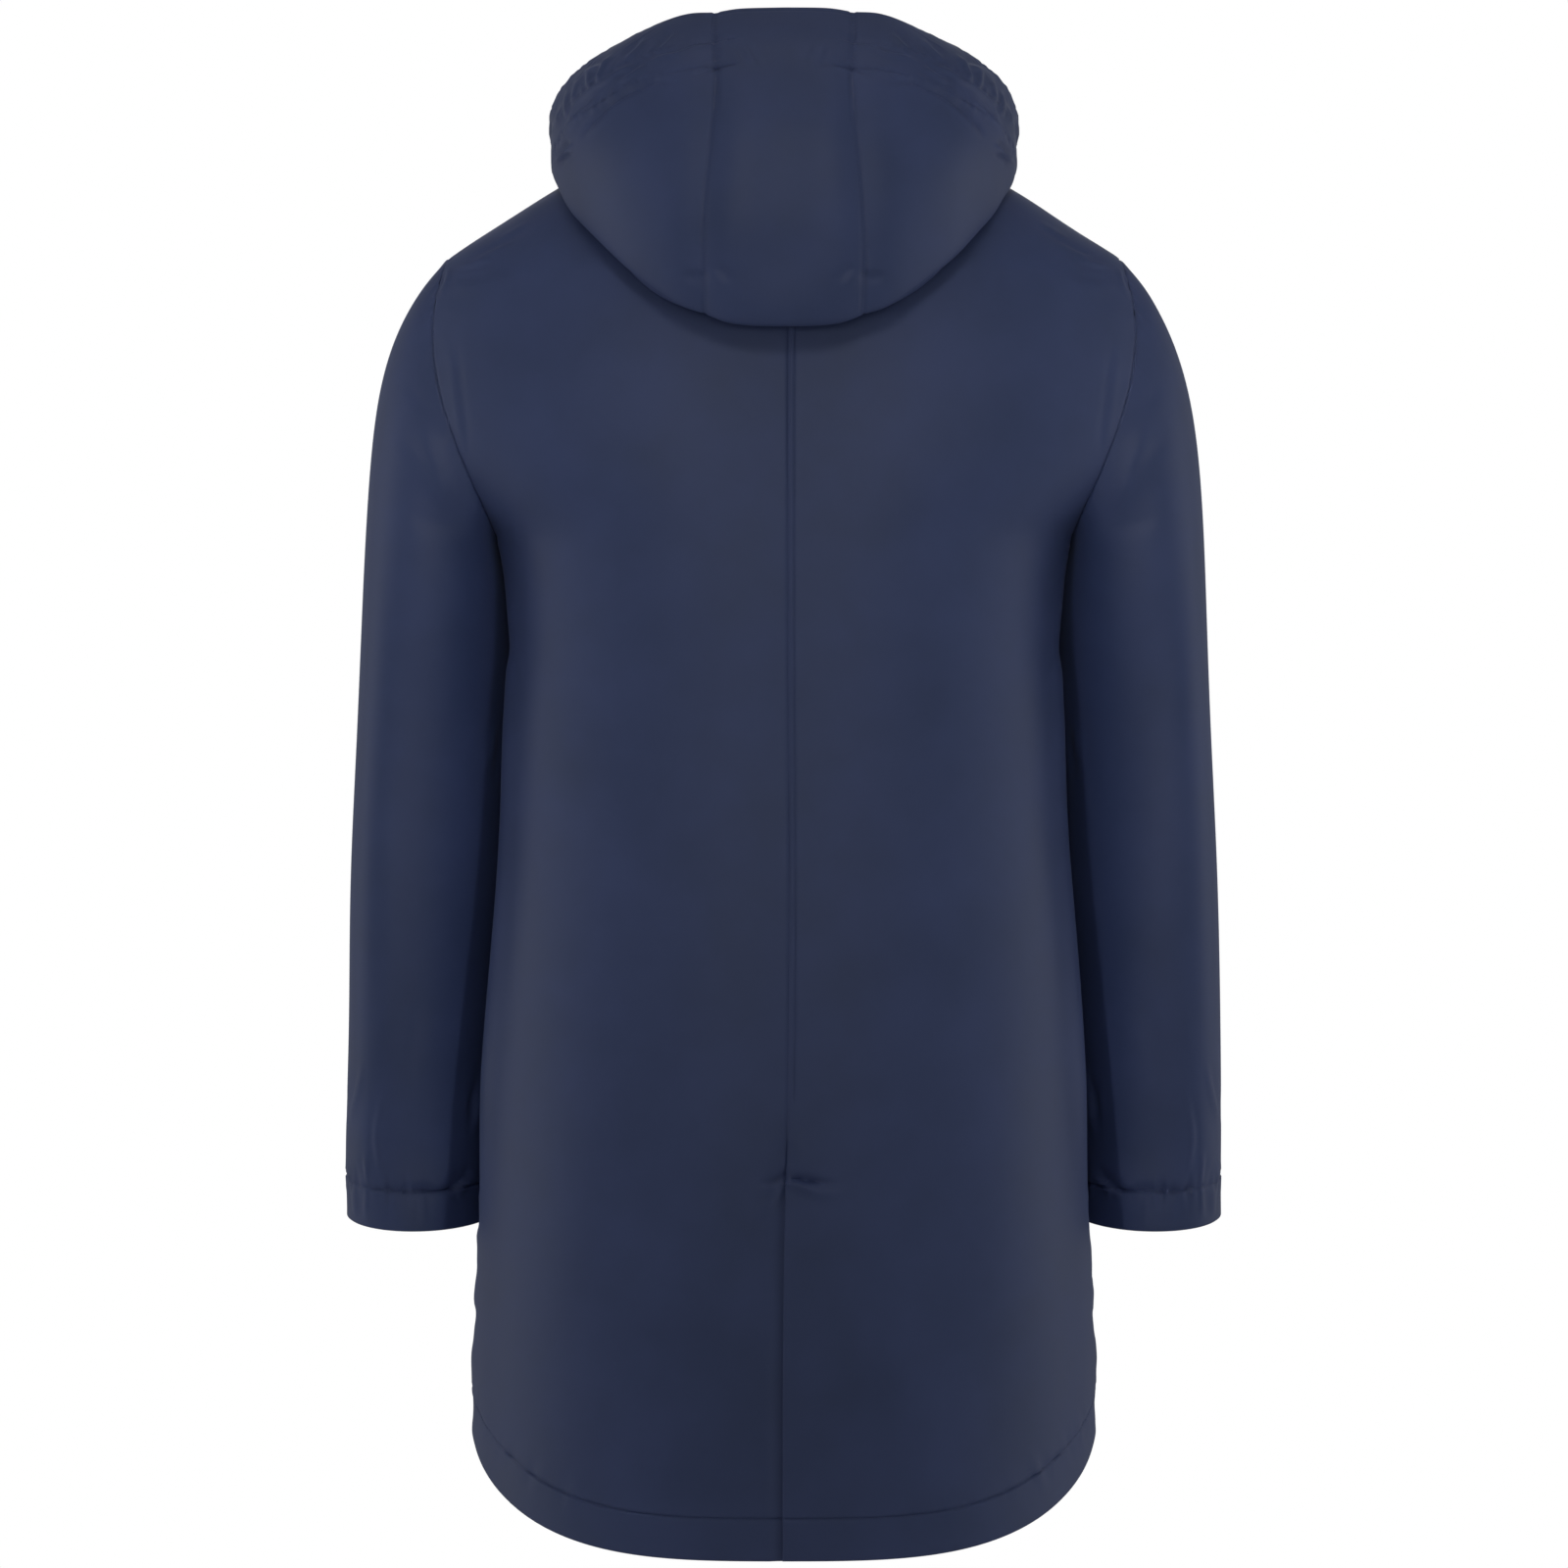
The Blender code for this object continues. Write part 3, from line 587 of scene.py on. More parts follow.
def coatedTaffeta():
    # Polyester taffeta with a thin polyurethane coat, calendered: smooth and satin, with a broad soft
    # shine at grazing angles and hardly any weave to see.
    look = clothLook
    material, tree, shader = newMaterial("coatedTaffeta")
    place = addNode(tree, "ShaderNodeTexCoord")
    marks = addNode(tree, "ShaderNodeTexNoise", None, {
        "Vector": (place, "Object"), "Scale": 1 / (look["handling"] * mm), "Detail": 3.0, "Roughness": 0.55,
    })
    spread = addNode(tree, "ShaderNodeMapRange", None, {
        "Value": (marks, "Fac"), "From Min": 0.25, "From Max": 0.7,
    })
    colour = addNode(tree, "ShaderNodeMix", {"data_type": "RGBA"}, {
        0: (spread, "Result"), 6: linear(look["deep"]), 7: linear(look["navy"]),
    })
    tree.links.new(colour.outputs[2], shader.inputs["Base Color"])
    shine = addNode(tree, "ShaderNodeMapRange", None, {
        "Value": (marks, "Fac"), "From Min": 0.3, "From Max": 0.7,
        "To Min": look["roughness"][0], "To Max": look["roughness"][1],
    })
    tree.links.new(shine.outputs["Result"], shader.inputs["Roughness"])
    threads = addNode(tree, "ShaderNodeMapping", None, {
        "Vector": (place, "UV"), "Scale": (1 / (look["threadPitch"] * mm),) * 3,
    })
    onePerUnit = math.pi / 10      # the wave texture's scale for one wave a unit
    weave = [
        addNode(tree, "ShaderNodeTexWave", {"bands_direction": way}, {
            "Vector": (threads, "Vector"), "Scale": onePerUnit, "Detail": 1.0,
            "Distortion": look["threadWaver"],
        })
        for way in ("X", "Y")
    ]
    woven = addNode(tree, "ShaderNodeMath", {"operation": "ADD"}, {
        0: (weave[0], "Fac"), 1: (weave[1], "Fac"),
    })
    grain = addNode(tree, "ShaderNodeTexNoise", None, {
        "Vector": (place, "Object"), "Scale": 1 / (look["grain"] * mm), "Detail": 2.0,
    })
    height = addNode(tree, "ShaderNodeMath", {"operation": "MULTIPLY_ADD"}, {
        0: (grain, "Fac"), 1: look["grainShare"], 2: (woven, "Value"),
    })
    relief = addNode(tree, "ShaderNodeBump", None, {
        "Height": (height, "Value"), "Strength": look["relief"], "Distance": look["height"] * mm,
    })
    tree.links.new(relief.outputs["Normal"], shader.inputs["Normal"])
    weight, roughness, tint = look["sheen"]
    shader.inputs["IOR"].default_value = look["ior"]
    shader.inputs["Sheen Weight"].default_value = weight
    shader.inputs["Sheen Roughness"].default_value = roughness
    shader.inputs["Sheen Tint"].default_value = linear(tint)
    return material


def mottled(name, colours, size, roughness, height, more=None):
    # A surface of two close shades in an uneven grain, its size and height in millimetres. more holds values
    # for other sockets of the shader.
    material, tree, shader = newMaterial(name)
    place = addNode(tree, "ShaderNodeTexCoord")
    speckle = addNode(tree, "ShaderNodeTexNoise", None, {
        "Vector": (place, "Object"), "Scale": 1 / (size * mm), "Detail": 3.0,
    })
    colour = addNode(tree, "ShaderNodeMix", {"data_type": "RGBA"}, {
        0: (speckle, "Fac"), 6: linear(colours[0]), 7: linear(colours[1]),
    })
    tree.links.new(colour.outputs[2], shader.inputs["Base Color"])
    relief = addNode(tree, "ShaderNodeBump", None, {
        "Height": (speckle, "Fac"), "Strength": 0.25, "Distance": height * mm,
    })
    tree.links.new(relief.outputs["Normal"], shader.inputs["Normal"])
    dulling = addNode(tree, "ShaderNodeMapRange", None, {
        "Value": (speckle, "Fac"), "From Min": 0.3, "From Max": 0.7,
        "To Min": roughness[0], "To Max": roughness[1],
    })
    tree.links.new(dulling.outputs["Result"], shader.inputs["Roughness"])
    for socket, value in (more or {}).items():
        shader.inputs[socket].default_value = value
    return material


# The taffeta's wrong side is a matt membrane, and the clear film tape pressed over the seams inside shines
# more than it. Spun polyester thread is dull, and its navy is set darker than the cloth's as painted shade
# for the shadow along the stitching's groove. The navy lacquer baked on the studs' caps is smooth, with a
# sharp highlight, and their sockets are nickelled brass, pale grey with a soft mirror.
taffeta = coatedTaffeta()
membraneBack = mottled("membraneBack", ("#333a55", "#454d68"), 1.6, (0.62, 0.72), 0.1)
seamTape = mottled("seamTape", ("#363d58", "#3f4763"), 3.0, (0.3, 0.4), 0.06)
# the thread's own navy, darkened below the cloth's: painted shade standing in for the shadow in the
# stitching's groove
thread = mottled("polyesterThreadWithPaintedShade", ("#2e3962", "#3d4972"), 0.7, (0.5, 0.65), 0.05)
capLacquer = mottled("capLacquer", ("#28325a", "#2e3862"), 4.0, (0.2, 0.3), 0.02, {"Coat Weight": 0.4})
socketBrass = mottled("nickelledBrass", ("#8d8f94", "#a5a7ab"), 2.0, (0.25, 0.35), 0.02, {"Metallic": 1.0})
clothSlots = {"face": 0, "wrong": 1, "tape": 2}
sharpAngle = {"cloth": 62, "stud": 50}    # degrees between two faces, past which their edge looks sharp
print("materials made")


def keep(piece, node):
    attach(piece, "root")
    if node:
        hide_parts(node)


def cellCorners(i, j, beside, columns):
    # the numbers of a grid's points at the corners of its cells
    below = (i + 1) * columns
    return np.stack([i * columns + j, below + j, below + beside, i * columns + beside], -1)


def clothPiece(name, node, outer, normal, wall, inside, kept=None, isTube=False):
    # A wall of cloth from its outer grid. inside holds a look for each point of the inner face, and kept
    # says which cells are there.
    rows, columns = outer.shape[:2]
    spans = columns if isTube else columns - 1
    kept = np.ones((rows - 1, spans), bool) if kept is None else kept
    inner = outer - normal * wall[..., None]
    total = rows * columns
    i, j = np.nonzero(kept)
    corners = cellCorners(i, j, (j + 1) % columns, columns)
    planCorners = cellCorners(i, j, j + 1, spans + 1)
    ring = np.concatenate([outer, outer[:, :1]], axis=1) if isTube else outer
    plan = np.stack([arcAcross(ring), arcDown(ring)], -1).reshape(-1, 2) * mm
    faces = [corners, corners[:, ::-1] + total]
    plans = [planCorners, planCorners[:, ::-1]]
    padded = np.zeros((rows + 1, spans + 2), bool)
    padded[1:-1, 1:-1] = kept
    if isTube:
        padded[1:-1, 0], padded[1:-1, -1] = kept[:, -1], kept[:, 0]
    for side, (down, across) in enumerate([(0, -1), (1, 0), (0, 1), (-1, 0)]):
        isOpen = ~padded[i + 1 + down, j + 1 + across]
        near, far = corners[isOpen, side], corners[isOpen, (side + 1) % 4]
        faces.append(np.stack([far, near, near + total, far + total], -1))
        near, far = planCorners[isOpen, side], planCorners[isOpen, (side + 1) % 4]
        plans.append(np.stack([far, near, near, far], -1))
    slots = np.zeros(sum(len(part) for part in faces), np.int32)
    slots[len(corners) : 2 * len(corners)] = inside[i, j]
    faces, plans = np.concatenate(faces), np.concatenate(plans)
    points = np.concatenate([outer.reshape(-1, 3), inner.reshape(-1, 3)]) * mm
    used, compact = np.unique(faces, return_inverse=True)
    mesh = bpy.data.meshes.new(name)
    mesh.from_pydata(points[used].tolist(), [], compact.reshape(faces.shape).tolist())
    layer = mesh.uv_layers.new(name="clothPlan")
    layer.data.foreach_set("uv", plan[plans].reshape(-1).astype(np.float32))
    finishMesh(mesh, (taffeta, membraneBack, seamTape), slots, sharpAngle["cloth"])
    piece = addObject(name, mesh)
    keep(piece, node)
    down, across = np.diff(outer, axis=0)[:, : columns - 1], np.diff(outer, axis=1)[:-1]
    cells = np.linalg.norm(np.cross(down, across), axis=-1)
    measured = (cells * kept[:, : columns - 1]).sum() * mm * mm
    print(f"{name}: {len(faces) * 2} triangles, {measured:.4f} square metres")


def clothWall(isTaped, isFolded, folded):
    # the cloth's thickness and the look of its inside: tape along the seams, the face where it is turned in
    wall = np.full(isTaped.shape, float(coat["cloth"]))
    inside = np.full(isTaped.shape, clothSlots["wrong"])
    wall[isTaped] += coat["tape"]
    inside[isTaped] = clothSlots["tape"]
    wall[isFolded] = folded
    inside[isFolded] = clothSlots["face"]
    return wall, inside


def pressed(outer, normal, push, wall, toFreeEdge, isTube=False):
    # The cloth with its relief. A folded edge is round: the wall closes over its last half thickness.
    outer = outer + normal * push[..., None]
    normal = gridNormal(outer, normal, isTube)
    near = np.clip(toFreeEdge / (wall / 2), 0, 1)
    share = np.sqrt(1 - (1 - near) ** 2)
    moved = outer - normal * (wall * (1 - share) / 2)[..., None]
    return moved, normal, np.maximum(wall * share, coat["edgeCloth"])


def alike(normal, shared, fromSeam, where=1):
    # beside the armhole seam, normals that the panels and the sleeve share
    pull = (bump(fromSeam, coat["seamReach"]) * where)[..., None]
    return unit(normal * (1 - pull) + shared * pull)


body = {
    "shoulderRun": 150, "armholeRun": 205, "sideRun": 655, "width": 232,
    # between rows or columns: the finest, the coarsest and how fast one grows into the other
    "spacing": {
        "shoulder": (1.2, 3.6, 0.07), "armhole": (1.2, 3.2, 0.07),
        "upper": (0.8, 3.6), "lower": (0.55, 3.6), "across": (0.8, 3.6, 0.14),
    },
    "seam": (0.9, 0.95),              # depth and half width of a seam's groove
    "seamShare": 0.8,                 # of that depth at the side and shoulder seams
    "stitch": (1.15, 0.8),
    "centreSeam": (0.6, 1.1, 1.2),    # depth, what it gains down to the vent, half width
    "centreRidge": (0.35, 2.3, 1.6),  # height, place and half width, between seam and top-stitching
    "centreStitch": 4.3,              # top-stitching beside the centre-back seam, and where it ends
    "centreStitchEndZ": -659,
    "centreStitchShare": 0.45,        # of the depth of other stitching
    "hemPuckers": {"height": 1.0, "wavelength": 14, "reach": 10},
    "hemPuckerShare": 0.25,           # of their height in the middle; they grow between these x
    "hemPuckerX": (80, 165),
    "sidePuckers": {"height": 0.6, "wavelength": 26, "reach": 13},
    "sidePuckerZ": (-560, -700),      # they grow downwards between these heights
    "centrePuckers": {"height": 0.12, "wavelength": 9, "reach": 5},
    "armholePuckers": {"height": 0.45, "wavelength": 9, "reach": 9},
    "shoulderPuckers": {"height": 0.6, "wavelength": 8, "reach": 6},
    "edgeStitch": 6,
    "drape": (70, 0.35),              # size of the slack waves, and their width beside their height
    "slack": 0.4,
    "slackFrom": (30, 25),            # it grows over these distances from the hem and the armhole
    # fold beside the side seam that lies over the sleeve: its distance, half width and height
    "armFold": {"back": (31, 14, 4.4), "front": (44, 15, 3.2)},
    "armFoldZ": (-255, -290, -640, -770),
    "tuckSlope": 0.18,                # side tucks rise as they run in
}
# Creases as paths of x and z, for the left and the right panel, both as if on the left. Those of the back
# are placed as seen flat from behind.
shoulderCreases = [
    ([(231, -134), (227, -152), (223.5, -182), (220.5, -203), (219.5, -226)], 1.0, 2.2),
    ([(217, -228), (206, -270), (195, -322), (183, -374), (178, -396)], 1.3, 3.0),
    ([(233, -88), (233.5, -95), (236, -102), (240, -108)], -1.1, 1.5),
    ([(228, -88), (216, -86), (203, -81)], -1.1, 1.6),
    ([(230, -95), (217, -96), (204, -94)], 1.0, 1.6),
    ([(232, -103), (219, -105), (207, -105)], -1.0, 1.6),
    ([(235, -112), (224, -115), (214, -115)], 0.9, 1.6),
    ([(216, -81), (203, -75), (190, -68)], 1.0, 1.6),
    ([(199, -70), (187, -63), (175, -56)], -0.9, 1.6),
]
backCreases = {
    True: shoulderCreases + [
        ([(17, -724.5), (10, -723), (4, -721), (-3, -718.5), (-14, -716.5)], 2.6, 2.4),
        ([(0, -724), (6, -733), (10, -739.5), (17, -748)], -2.4, 2.4),
        ([(4, -694), (3, -708), (1, -724)], 1.3, 5.5),
    ],
    False: shoulderCreases + [
        ([(40, -724), (28, -723), (17, -722), (7, -720.5), (-3, -718.5), (-16, -716)], 2.6, 2.2),
        ([(2, -723), (11, -726), (20.6, -730), (30, -731.5), (41, -729.5)], -1.8, 2.7),
        ([(1, -690), (2, -706), (3, -722)], 1.3, 5.5),
    ],
}
frontCreases = {
    True: [
        ([(208, -236), (217, -196), (222, -156), (226, -120)], 1.0, 4.5),
        ([(176, -380), (186, -338), (196, -290), (206, -250)], 1.2, 5.0),
        ([(118, -160), (150, -134), (186, -112), (214, -98)], 0.8, 7.5),
        ([(130, -344), (160, -300), (196, -262)], 0.7, 8.5),
        ([(64, -330), (60, -230), (48, -150)], 0.5, 9.0),
        ([(104, -780), (92, -660), (60, -560)], 0.5, 10.0),
    ],
    False: [
        ([(209, -232), (216, -198), (222, -154), (227, -118)], 1.0, 4.5),
        ([(178, -374), (187, -334), (197, -288), (206, -246)], 1.2, 5.0),
        ([(120, -158), (148, -136), (182, -116), (212, -100)], 0.8, 7.5),
        ([(128, -352), (162, -304), (194, -266)], 0.7, 8.5),
        ([(98, -770), (88, -650), (62, -540)], 0.5, 10.0),
    ],
}
# Tucks that run in from the side seams: height at the seam, how tall they are and how far in they reach
sideTucks = {
    "z": [-770, -800, -817, -846, -878, -905],
    "height": [0.8, 1.4, -1.8, 1.6, -1.9, 1.5],
    "tall": [12, 10, 5, 14, 5.5, 12],
    "reach": [22, 20, 15, 26, 14, 20],
}


def bodyRows():
    spacing = body["spacing"]
    shoulder = places(body["shoulderRun"], [body["shoulderRun"]], *spacing["shoulder"])
    armhole = places(body["armholeRun"], [0], *spacing["armhole"])
    vent = (coat["ventTopZ"] - coat["underarm"][1]) / (coat["hemZ"]["back"] - coat["underarm"][1])
    upperRun, lowerRun = body["sideRun"] * vent, body["sideRun"] * (1 - vent)
    upper = places(upperRun, [upperRun], *spacing["upper"])
    lower = places(lowerRun, [0, lowerRun - coat["hemDepth"], lowerRun], *spacing["lower"])
    return np.concatenate([
        shoulder[:-1], 1 + armhole[:-1], 2 + vent * upper[:-1], 2 + vent + (1 - vent) * lower,
    ]), 2 + vent


def sinkCentreSeam(push, fromSeam, z, isLeft, seed):
    # Adds the centre-back seam above the vent to push, and on the right back its top-stitching and the ridge
    # between the two.
    depth, gain, half = body["centreSeam"]
    endZ = body["centreStitchEndZ"]
    isAbove = z >= coat["ventTopZ"]
    push -= (depth + gain * smooth(endZ, coat["ventTopZ"], z)) * bump(fromSeam, half) * isAbove
    push += puckers(fromSeam, -z, body["centrePuckers"], seed) * isAbove
    if not isLeft:
        stitchDepth, stitchHalf = body["stitch"]
        ridge, ridgeAt, ridgeHalf = body["centreRidge"]
        isSewn = smooth(endZ - 1, endZ + 1, z)
        toStitch = fromSeam - body["centreStitch"]
        push -= isSewn * body["centreStitchShare"] * stitchDepth * bump(toStitch, stitchHalf)
        push += isSewn * ridge * bump(fromSeam - ridgeAt, ridgeHalf)


def sinkFrontEdge(push, fromEdge, z, seed):
    # adds the stitching along the front edge to push
    stitchDepth, stitchHalf = body["stitch"]
    toStitch = fromEdge - body["edgeStitch"]
    push -= stitchDepth * bump(toStitch, stitchHalf)
    push += puckers(np.abs(toStitch), -z, body["centrePuckers"], seed)


def addBodyPanel(name, node, face, isLeft, lift, nearColumns, ventColumns=0):
    # nearColumns are millimetres past the centre line. The first ventColumns of the spans between them
    # are there only below the top of the vent.
    isBack = face == "back"
    side = 1 if isLeft else -1
    rows, ventRow = bodyRows()
    spread = places(body["width"], [0, body["width"]], *body["spacing"]["across"])[1:]
    across = np.concatenate([np.zeros(len(nearColumns)), spread])
    start = np.concatenate([nearColumns, np.full(len(spread), nearColumns[-1])])
    if isBack:
        centreZ = rowEdge(face, rows)[2]
        start = start + side * atHeight(centreSeam, "x", centreZ)[:, None]
    outer = bodyPoint(face, rows[:, None], across, start, lift)
    normal = bodyNormal(face, outer, lift)
    onArmhole = (rows >= 1) & (rows <= 2)
    toArmhole, alongArmhole, _ = nearLine(outer, outer[onArmhole, -1])
    toSide, alongSide, _ = nearLine(outer, outer[rows >= 2, -1])
    toShoulder, alongShoulder, _ = nearLine(outer, outer[rows <= 1, -1])
    toHem, alongHem, _ = nearLine(outer, outer[-1])
    shared = armholeNormal(np.pi * np.clip(rows - 1, 0, 1) * (1 if isBack else -1))
    normal = alike(normal, shared[:, None], toArmhole, onArmhole[:, None])
    z = outer[..., 2]
    seed = 11 * (1 + isLeft) + (0 if isBack else 5)
    seamDepth, seamHalf = body["seam"]
    stitchDepth, stitchHalf = body["stitch"]
    push = -seamDepth * bump(toArmhole, seamHalf)
    isFree = smooth(*coat["seamFreeZ"], z)
    push -= body["seamShare"] * seamDepth * (bump(toSide, seamHalf) * isFree + bump(toShoulder, seamHalf))
    push += puckers(toArmhole, alongArmhole, body["armholePuckers"], seed + 1)
    push += puckers(toShoulder, alongShoulder, body["shoulderPuckers"], seed + 6)
    push += puckers(toSide, alongSide, body["sidePuckers"], seed + 2) * smooth(*body["sidePuckerZ"], z)
    toStitch = np.abs(toHem - coat["hemDepth"])
    push -= stitchDepth * bump(toStitch, stitchHalf)
    least = body["hemPuckerShare"]
    hemCurve = least + (1 - least) * smooth(*body["hemPuckerX"], np.abs(outer[..., 0]))
    push += puckers(toStitch, alongHem, body["hemPuckers"], seed + 3) * hemCurve
    if isBack:
        push += creases(seenFlat(outer), backCreases[isLeft])
    else:
        push += creases(outer[..., [0, 2]], frontCreases[isLeft])
    for tuckZ, height, tall, reach in zip(*sideTucks.values()):
        push += height * bump(z - tuckZ - body["tuckSlope"] * toSide, tall) * bump(toSide, reach)
    foldAt, foldHalf, foldHeight = body["armFold"][face]
    top, full, fading, end = body["armFoldZ"]
    besideArm = smooth(top, full, z) * (1 - smooth(fading, end, z))
    push += foldHeight * bump(toSide - foldAt, foldHalf) * besideArm
    size, narrow = body["drape"]
    drape = softNoise(outer[..., [0, 2]] * [1, narrow], size, seed + 4)
    fromHem, fromArmhole = body["slackFrom"]
    push += body["slack"] * drape * smooth(0, fromHem, toHem) * smooth(0, fromArmhole, toArmhole)
    isTaped = np.minimum(np.minimum(toArmhole, toSide), toShoulder) < coat["tapeHalf"]
    isFolded = toHem < coat["hemDepth"] + coat["hemPast"]
    fromEdge = outer[..., 0] - outer[:, :1, 0]
    if isBack:
        isBelow = z < coat["ventTopZ"]
        fromSeam = np.abs(outer[..., 0] - side * atHeight(centreSeam, "x", z))
        isTaped |= (fromSeam < coat["tapeHalf"]) & ~isBelow
        isFolded |= isBelow & (fromEdge < coat["facing"])
        toFreeEdge = np.minimum(toHem, np.where(isBelow, fromEdge, np.inf))
        sinkCentreSeam(push, fromSeam, z, isLeft, seed + 5)
    else:
        isFolded |= fromEdge < coat["facing"]
        toFreeEdge = np.minimum(toHem, fromEdge)
        sinkFrontEdge(push, fromEdge, z, seed + 5)
    wall, inside = clothWall(isTaped, isFolded, coat["hemCloth"])
    outer, normal, wall = pressed(outer, normal, push, wall, toFreeEdge)
    kept = np.ones((len(rows) - 1, len(across) - 1), bool)
    kept[rows[:-1] < ventRow - 1e-9, :ventColumns] = False
    outer, normal = mirrored(outer, isLeft), mirrored(normal, isLeft)
    clothPiece(name, node, outer, normal, wall, inside, kept)
    sew(outer, normal, toHem, coat["hemDepth"])
    if not isBack:
        sew(outer, normal, fromEdge, body["edgeStitch"], isAcross=False)
    elif not isLeft:
        isSewn = outer[..., 2] > body["centreStitchEndZ"]
        sew(outer, normal, fromSeam, body["centreStitch"], isSewn, isAcross=False)


# Columns in millimetres past the centre line: the vent's underlap, the right back's edge, the fronts' lap.
underlap = [-36, -33, -30, -27, -24, -21, -18, -15, -12, -9, -6.5, -4.5, -3, -1.8, -0.8, 0]
rightEdge = [0, 0.3, 0.7, 1.2, 1.8, 2.5, 3.2, 3.7, 4.2, 4.7, 5.3, 6.1, 7.2]
frontLap = [-30, -29.6, -29.1, -28.4, -27.4, -26, -25, -24.4, -23.8, -23, -22, *range(-19, 46, 3)]
addBodyPanel("backLeftCloth", "back_left", "back", True, ventLift, underlap,
             len(underlap) - 1)
addBodyPanel("backRightCloth", "back_right", "back", False, flatLift, rightEdge)
addBodyPanel("frontLeftCloth", "front_left", "front", True, lapLift, frontLap)
addBodyPanel("frontRightCloth", "front_right", "front", False, flatLift, frontLap)
print("body panels made")


arm = {
    "columns": 216,
    "length": 655,
    "spacing": (0.6, 4.4),
    "girth": 420,                    # round the cap, for its puckers
    "cuffShare": 0.75,               # the cuff's girth beside it
    "radius": 55,                    # at the underarm seam
    "seam": (0.9, 0.95),
    "underSeam": (0.7, 1.3),
    "stitch": (2.3, 0.75),
    "secondStitch": (2.4, 0.7),      # a second row above the first, and its half width
    "behind": 0.5,                   # only behind the hand, that many radians to each side
    "cuffPuckers": {"height": 0.9, "wavelength": 11, "reach": 9},
    "capPuckers": {"height": 0.6, "wavelength": 8, "reach": 8},
    "underPuckers": {"height": 0.5, "wavelength": 30, "reach": 12},
    "drape": (90, 0.4),
    "slack": 0.7,
    "slackFrom": (50, 40),           # over these distances from the cap and the cuff
    # beside the body the back of the arm sinks in: how far, where round it and how wide, both in radians
    "backHollow": (4.5, 1.8, 0.6),
    "hollowFrom": {"cap": (60, 200), "cuff": (0, 60)},
}
# Seen from behind, as if on the left
sleeveCreases = [
    ([(292.5, -640), (296.4, -659.6), (299.5, -675), (301.5, -685)], -1.1, 1.7),
    ([(276.5, -657), (281.5, -673.6), (284.4, -689), (283.6, -702), (281, -716), (278, -725)], -0.85, 1.7),
    ([(291.5, -703), (290.4, -714), (289, -726)], -1.2, 1.5),
    ([(302.3, -706), (301.2, -715.8), (300, -726)], -1.4, 1.5),
    ([(298.5, -710), (296, -719.7), (293.5, -728)], 0.9, 1.5),
    ([(290.8, -723), (290.2, -733.7), (290.8, -748)], -1.0, 1.6),
    ([(298.5, -724), (298, -736), (297.5, -748)], -0.9, 1.7),
    ([(271, -728), (270.5, -738), (270.5, -752)], -0.5, 2.4),
    ([(251, -728), (250.5, -740), (250, -756)], -0.45, 2.6),
    ([(237, -730.5), (230, -726.7), (226, -724.3), (220.7, -718.9), (216, -712)], 3.2, 2.1),
    ([(238, -722), (231, -716), (225, -712)], -0.7, 2.4),
    ([(226.6, -726), (224.6, -736)], -1.0, 1.5),
    ([(207.5, -643), (209.8, -658), (212.3, -666), (212.3, -675), (214.5, -683), (216.5, -692)], -2.0, 1.7),
    ([(213.5, -655), (216.5, -668), (218, -680)], 0.9, 2.0),
    ([(262, -660), (258, -630), (250, -596)], 0.6, 6.0),
    ([(283, -640), (279, -612), (272, -580)], -0.5, 5.0),
    ([(196, -405), (199, -424), (201, -446)], 1.2, 3.0),
    ([(200, -398), (203, -414), (203, -432)], -0.8, 2.8),
    ([(262, -168), (252, -182), (240, -190)], 0.5, 4.0),
    ([(268, -205), (252, -222), (236, -232)], 0.55, 4.5),
    ([(262, -258), (240, -268), (222, -268)], 0.7, 5.5),
    ([(230, -262), (239, -236), (247, -212), (254, -192)], -2.4, 8.0),
]
sleeveFrontCreases = [
    ([(236, -150), (250, -172), (262, -200)], 0.8, 5.0),
    ([(222, -238), (240, -262), (262, -282)], 1.1, 6.0),
    ([(218, -300), (236, -330), (262, -352)], 0.9, 6.5),
    ([(252, -470), (232, -452), (214, -446)], 0.9, 5.0),
    ([(262, -500), (238, -486), (214, -484)], 0.8, 5.5),
    ([(250, -560), (236, -600), (228, -650)], 0.6, 6.0),
    ([(270, -690), (262, -708), (260, -730)], 0.5, 3.0),
    ([(240, -740), (240, -716)], 0.5, 3.0),
]


